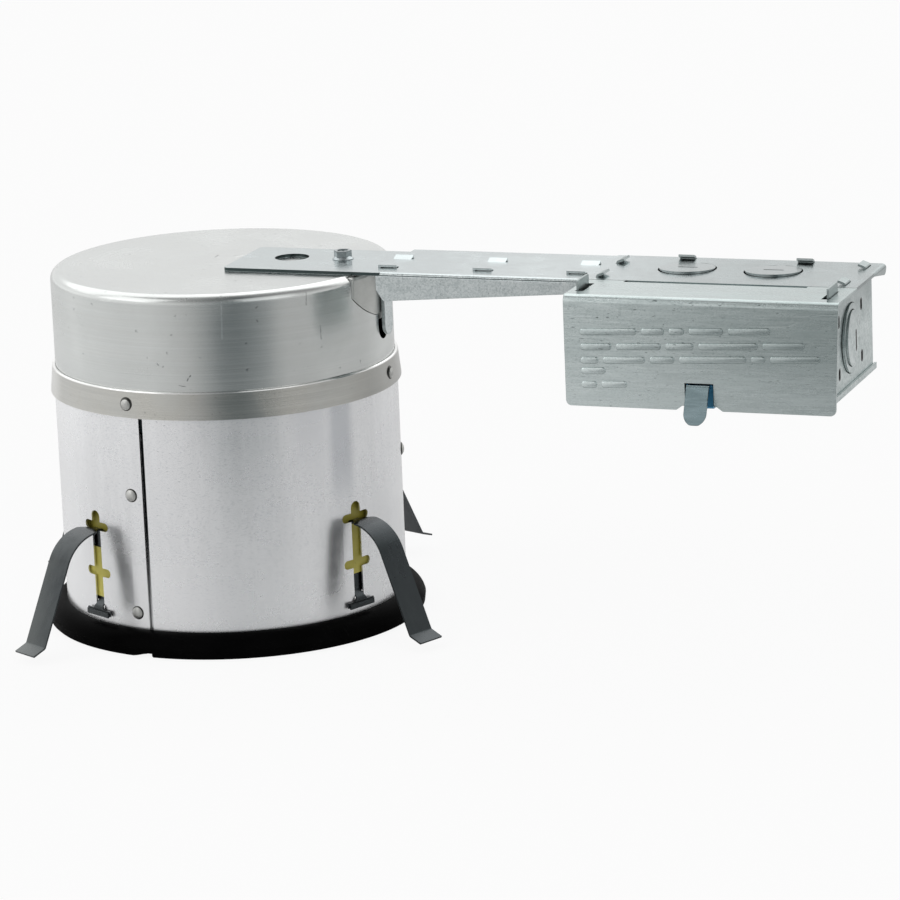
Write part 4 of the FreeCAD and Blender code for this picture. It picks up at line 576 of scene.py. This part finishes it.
clipLook = {
    "dark": (0.050, 0.056, 0.059, 1), "light": (0.074, 0.082, 0.085, 1), "band": (0.058, 0.066, 0.070, 1),
    "stain": (0.088, 0.094, 0.093, 1), "bright": (0.18, 0.19, 0.20, 1), "pitColour": (0.02, 0.02, 0.022, 1),
    "along": (260, 260, 22), "rough": 0.27, "bump": 0.15, "smudge": 30, "smudgeAmount": 0.35, "pit": 900,
    "pitAmount": 0.35, "scratchAmount": 0.2, "wearGlintAmount": 0.2, "wearWidth": 0.0003,
    # painted light and shade: the right clips darker, the far left clip and the back clips lighter
    "paintedLightRamps": [(0, -0.02, 0.04, (0.035, 0.041, 0.044, 1), 0.65),
               (0, -0.045, -0.068, (0.15, 0.16, 0.155, 1), 0.6),
               (1, 0.0, 0.03, (0.13, 0.135, 0.14, 1), 0.5)],
}
tapeLook = {
    "dark": (0.64, 0.56, 0.085, 1), "light": (0.76, 0.68, 0.14, 1), "band": (0.68, 0.61, 0.11, 1),
    "stain": (0.50, 0.44, 0.07, 1), "bright": (0.80, 0.73, 0.28, 1), "pitColour": (0.16, 0.14, 0.04, 1),
    "along": (160, 160, 420), "rough": 0.42, "bump": 0.5, "bumpDepth": 0.0002, "smudge": 70,
    "smudgeAmount": 0.45, "pit": 500, "pitAmount": 0.25, "metallic": 0.0,
    # painted light and shade: the right tape darker, lighter towards the lower end
    "paintedLightRamps": [(0, 0.0, 0.04, (0.32, 0.28, 0.04, 1), 0.62), (2, 0.036, 0.022, (0.98, 0.88, 0.22, 1), 0.5)],
}
# painted shade: the seals take the tape's yellow darkened, for their place behind the slots
sealShadeLook = dict(tapeLook, dark=(0.27, 0.24, 0.035, 1), light=(0.34, 0.30, 0.05, 1),
                band=(0.30, 0.27, 0.04, 1))
springSteel = paintMetal("bluedSpring", clipLook)
yellowTape = paintMetal("yellowTape", tapeLook)
shadedTape = paintMetal("shadedTape", sealShadeLook)
for place in clipPlaces:
    dress(springSteel, "clip_" + place)
    dress(yellowTape, "tape_" + place)
    dress(shadedTape, "seal_" + place)
print("clips and tape painted")


# Lampholder and small inner pieces

bracketLook = dict(plateLook, along=(500, 500, 20), spangleAmount=0.3, pitAmount=0.3)
brassLook = {
    "dark": (0.50, 0.36, 0.13, 1), "light": (0.66, 0.50, 0.22, 1), "band": (0.58, 0.43, 0.17, 1),
    "stain": (0.38, 0.26, 0.10, 1), "bright": (0.85, 0.72, 0.42, 1), "pitColour": (0.15, 0.10, 0.04, 1),
    "along": (40, 40, 900), "rough": 0.26, "bump": 0.2, "smudge": 80, "pit": 700,
}
porcelainLook = {
    "dark": (0.72, 0.70, 0.65, 1), "light": (0.80, 0.78, 0.73, 1), "band": (0.77, 0.75, 0.70, 1),
    "stain": (0.66, 0.63, 0.57, 1), "bright": (0.86, 0.85, 0.81, 1), "pitColour": (0.30, 0.26, 0.22, 1),
    "along": (120, 120, 120), "rough": 0.16, "bump": 0.12, "smudge": 60, "smudgeAmount": 0.25, "pit": 320,
    "pitAmount": 0.4, "metallic": 0.0, "coat": 0.6, "coatRough": 0.08,
}
limiterLook = {
    "dark": (0.030, 0.030, 0.033, 1), "light": (0.045, 0.045, 0.048, 1), "band": (0.038, 0.038, 0.040, 1),
    "stain": (0.06, 0.06, 0.06, 1), "bright": (0.14, 0.14, 0.14, 1), "pitColour": (0.01, 0.01, 0.01, 1),
    "along": (300, 300, 300), "rough": 0.4, "bump": 0.3, "smudge": 120, "pit": 900, "metallic": 0.0,
}
rubberLook = dict(limiterLook, rough=0.62, dark=(0.012, 0.012, 0.012, 1), light=(0.022, 0.022, 0.022, 1))
dress(paintMetal("strapSteel", bracketLook), "socket_bracket", "socket_carrier", "trim_bracket_right",
      "trim_bracket_left")
dress(paintMetal("rolledBrass", brassLook), "screw_shell", "centre_contact")
dress(paintMetal("glazedPorcelain", porcelainLook), "lamp_socket")
dress(paintMetal("mouldedCase", limiterLook), "heat_limiter")
dress(paintMetal("blackRubber", rubberLook), "wire_grommet")
print("inside painted")


def finishPiece(shape, name, body, material):
    mesh = bpy.data.meshes.new(name)
    bmesh.ops.recalc_face_normals(shape, faces=shape.faces[:])
    shape.to_mesh(mesh)
    shape.free()
    mesh.materials.append(material)
    for face in mesh.polygons:
        face.use_smooth = True
    mesh.set_sharp_from_angle(angle=math.radians(40))
    piece = bpy.data.objects.new(name, mesh)
    bpy.context.scene.collection.objects.link(piece)
    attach(piece, body)


# Plain raised bars on the cover's face, where such covers carry pressed rows

barRows = {
    "height": 0.0030, "relief": 0.00060, "sink": 0.0003, "space": 0.0022,
    "roundEnds": 0.42,      # share of the height
    "softRims": 0.8,        # share of the relief
    # left, right, height at the left, height at the right, lengths of the bars
    "rows": [
        (0.1876, 0.2722, 0.1484, 0.1515, [15, 6, 4, 9, 11]),
        (0.1876, 0.2872, 0.1418, 0.1456, [9, 13, 8, 17, 12]),
        (0.1876, 0.2938, 0.1359, 0.1400, [5, 12, 7, 19, 4, 14]),
        (0.1877, 0.1985, 0.1312, 0.1317, [1]),
        (0.1877, 0.2080, 0.1252, 0.1260, [3, 5]),
    ],
}


def makeBars():
    shape = bmesh.new()
    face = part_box("box_cover")[0][1]
    for left, right, lowZ, highZ, words in barRows["rows"]:
        room = right - left - barRows["space"] * (len(words) - 1)
        x = left
        for word in words:
            width = room * word / sum(words)
            middle = x + width / 2
            z = lowZ + (highZ - lowZ) * (middle - left) / (right - left)
            bar = bmesh.ops.create_cube(shape, size=1.0)["verts"]
            depth = barRows["relief"] + barRows["sink"]
            bmesh.ops.scale(shape, vec=(width, depth, barRows["height"]), verts=bar)
            slope = math.atan2(highZ - lowZ, right - left)
            bmesh.ops.rotate(shape, cent=(0, 0, 0), matrix=Matrix.Rotation(-slope, 3, "Y"), verts=bar)
            bmesh.ops.translate(shape, vec=(middle, face - barRows["relief"] + depth / 2, z), verts=bar)
            corners = [edge for edge in shape.edges if edge.verts[0] in bar and abs(
                (edge.verts[0].co - edge.verts[1].co).normalized().y) > 0.9]
            bmesh.ops.bevel(shape, geom=corners, offset=barRows["height"] * barRows["roundEnds"],
                            affect="EDGES", segments=4, profile=0.5, material=-1)
            x += width + barRows["space"]
    front = [edge for edge in shape.edges if all(v.co.y < face - barRows["relief"] * 0.9 for v in edge.verts)]
    rims = [edge for edge in front if edge.calc_face_angle(0) > 1.0]
    bmesh.ops.bevel(shape, geom=rims, offset=barRows["relief"] * barRows["softRims"], affect="EDGES",
                    segments=3, profile=0.5, material=-1)
    finishPiece(shape, "raised_rows", "cover", nodes["box_cover"].data.materials[0])


makeBars()
print("raised rows made")


# Studio: floor, soft lights and the room that the metal mirrors

floorLook = {
    "colour": (0.90, 0.90, 0.90, 1), "size": 9.0, "drop": 0.0002, "glow": 0.90,
    "near": 0.36, "far": 0.56, "wallsNear": 0.27,
}
roomLook = {
    "light": 0.62,      # what falls on the object from all round
    "overhead": 1.6,    # what metal mirrors from above and behind
    "behind": 110.0,    # direction of that light, in degrees
    "overheadFrom": (0.32, 0.44),       # how high it starts
    "overheadSides": (0.0, 0.3),        # how far round it reaches
    "dimFrom": (0.15, 0.75),            # the walls grow dimmer upwards
    "dimTo": 0.45,
    # brightness of the mirrored room by direction, from -180 to 180 degrees round the can
    "walls": [(0.000, 1.20), (0.036, 1.12), (0.089, 1.05), (0.134, 0.98), (0.176, 0.98), (0.216, 0.86),
              (0.253, 0.70), (0.279, 0.50), (0.306, 0.27), (0.335, 0.24), (0.362, 0.32), (0.389, 0.44),
              (0.418, 0.72), (0.456, 0.72), (0.498, 0.84), (0.600, 0.82), (0.653, 1.00), (0.714, 0.92),
              (0.800, 0.90), (0.910, 1.08), (1.000, 1.20)],
}
lampLook = {
    "key": {"at": (-1.9, -1.7, 2.1), "size": 2.2, "power": 16.0},
    "fill": {"at": (2.2, -1.6, 1.5), "size": 2.0, "power": 7.0},
    "back": {"at": (0.2, 2.4, 2.0), "size": 2.4, "power": 8.0},
}
lookAt = Vector((0.10, 0.0, 0.08))


def mirroredWalls(tree, direction):
    parts = addNode(tree, "ShaderNodeSeparateXYZ", None, {0: direction}).outputs
    turn = maths(tree, "ARCTAN2", parts[1], parts[0])
    around = maths(tree, "MULTIPLY_ADD", turn, 1 / (2 * math.pi), 0.5)
    walls = addNode(tree, "ShaderNodeValToRGB", None, {0: around})
    stops = walls.color_ramp.elements
    stops[1].position = 1.0
    for index, (spot, value) in enumerate(roomLook["walls"]):
        stop = stops[0] if index == 0 else stops[-1] if spot == 1.0 else stops.new(spot)
        stop.position = spot
        cool = max(0.0, 0.6 - value) * 0.3
        stop.color = (value * (1 - cool), value, value * (1 + cool * 0.3), 1)
    return walls.outputs["Color"], parts


def makeFloor():
    shape = bmesh.new()
    bmesh.ops.create_grid(shape, x_segments=1, y_segments=1, size=floorLook["size"] / 2)
    bmesh.ops.translate(shape, vec=(0, 0, cadBox[0][2] - floorLook["drop"]), verts=shape.verts)
    mesh = bpy.data.meshes.new("studioFloor")
    shape.to_mesh(mesh)
    shape.free()
    floor = bpy.data.objects.new("studioFloor", mesh)
    bpy.context.scene.collection.objects.link(floor)
    material = bpy.data.materials.new("paleFloor")
    material.use_nodes = True
    tree = material.node_tree
    tree.nodes.clear()
    place = addNode(tree, "ShaderNodeTexCoord").outputs["Object"]
    away = addNode(tree, "ShaderNodeVectorMath", {"operation": "LENGTH"}, {0: place}).outputs["Value"]
    light = addNode(tree, "ShaderNodeLightPath").outputs
    far = remap(tree, away, floorLook["near"], floorLook["far"], floorLook["wallsNear"], 1.0)
    far = maths(tree, "MULTIPLY", far, light["Is Glossy Ray"])
    colour = mixColours(tree, far, floorLook["colour"], mirroredWalls(tree, place)[0])
    matt = addNode(tree, "ShaderNodeBsdfDiffuse", None, {"Color": colour})
    white = addNode(tree, "ShaderNodeEmission", None, {"Color": (1, 1, 1, 1), "Strength": 1.0})
    share = maths(tree, "MULTIPLY", light["Is Camera Ray"], floorLook["glow"])
    both = addNode(tree, "ShaderNodeMixShader", None, {0: share, 1: matt.outputs[0], 2: white.outputs[0]})
    end = addNode(tree, "ShaderNodeOutputMaterial")
    tree.links.new(both.outputs[0], end.inputs["Surface"])
    mesh.materials.append(material)


def makeRoom():
    world = bpy.data.worlds.new("softRoom")
    bpy.context.scene.world = world
    world.use_nodes = True
    tree = world.node_tree
    tree.nodes.clear()
    direction = addNode(tree, "ShaderNodeTexCoord").outputs["Generated"]
    walls, parts = mirroredWalls(tree, direction)
    way = math.radians(roomLook["behind"])
    back = addNode(tree, "ShaderNodeVectorMath", {"operation": "DOT_PRODUCT"}, {
        0: direction, 1: (math.cos(way), math.sin(way), 0)}).outputs["Value"]
    high = maths(tree, "MULTIPLY", remap(tree, parts[2], *roomLook["overheadFrom"]),
                 remap(tree, back, *roomLook["overheadSides"]))
    top = roomLook["overhead"]
    dim = remap(tree, parts[2], *roomLook["dimFrom"], 1.0, roomLook["dimTo"])
    dimmed = mixColours(tree, 1.0, walls, dim, "MULTIPLY")
    mirrored = mixColours(tree, high, dimmed, (top, top, top, 1))
    plain = roomLook["light"]
    light = addNode(tree, "ShaderNodeLightPath").outputs
    colour = mixColours(tree, light["Is Glossy Ray"], (plain, plain, plain, 1), mirrored)
    seen = maths(tree, "MAXIMUM", light["Is Camera Ray"], light["Is Transmission Ray"])
    colour = mixColours(tree, seen, colour, (1, 1, 1, 1))
    backdrop = addNode(tree, "ShaderNodeBackground", None, {"Color": colour, "Strength": 1.0})
    end = addNode(tree, "ShaderNodeOutputWorld")
    tree.links.new(backdrop.outputs[0], end.inputs["Surface"])


def makeLamps():
    for name, look in lampLook.items():
        lamp = bpy.data.lights.new(name + "Lamp", "AREA")
        lamp.shape = "SQUARE"
        lamp.size = look["size"]
        lamp.energy = look["power"]
        holder = bpy.data.objects.new(name + "Lamp", lamp)
        holder.location = look["at"]
        holder.rotation_euler = (lookAt - Vector(look["at"])).to_track_quat("-Z", "Y").to_euler()
        bpy.context.scene.collection.objects.link(holder)


# Camera at the photograph's place

viewLook = {
    "target": (0.09281, 0.03394, 0.07108), "distance": 2.12368, "heading": 110.087,
    "down": 13.905, "roll": -2.352, "lens": 185.856, "shift": (0.00366, -0.00199),
}


def makeCamera():
    heading = math.radians(viewLook["heading"])
    down = math.radians(viewLook["down"])
    roll = math.radians(viewLook["roll"])
    forward = Vector((math.cos(heading) * math.cos(down), math.sin(heading) * math.cos(down),
                      -math.sin(down)))
    level = forward.cross(Vector((0, 0, 1))).normalized()
    upright = level.cross(forward)
    right = level * math.cos(roll) + upright * math.sin(roll)
    up = upright * math.cos(roll) - level * math.sin(roll)
    camera = bpy.data.cameras.new("photoCamera")
    camera.lens = viewLook["lens"]
    camera.sensor_width = 36
    camera.shift_x, camera.shift_y = viewLook["shift"]
    camera.clip_start = 0.05
    camera.clip_end = 50
    holder = bpy.data.objects.new("photoCamera", camera)
    turn = Matrix((right, up, -forward)).transposed()
    place = Vector(viewLook["target"]) - forward * viewLook["distance"]
    holder.matrix_world = Matrix.Translation(place) @ turn.to_4x4()
    bpy.context.scene.collection.objects.link(holder)
    bpy.context.scene.camera = holder


makeFloor()
makeRoom()
makeLamps()
makeCamera()
bpy.context.scene.view_settings.view_transform = "Standard"
print("studio ready")
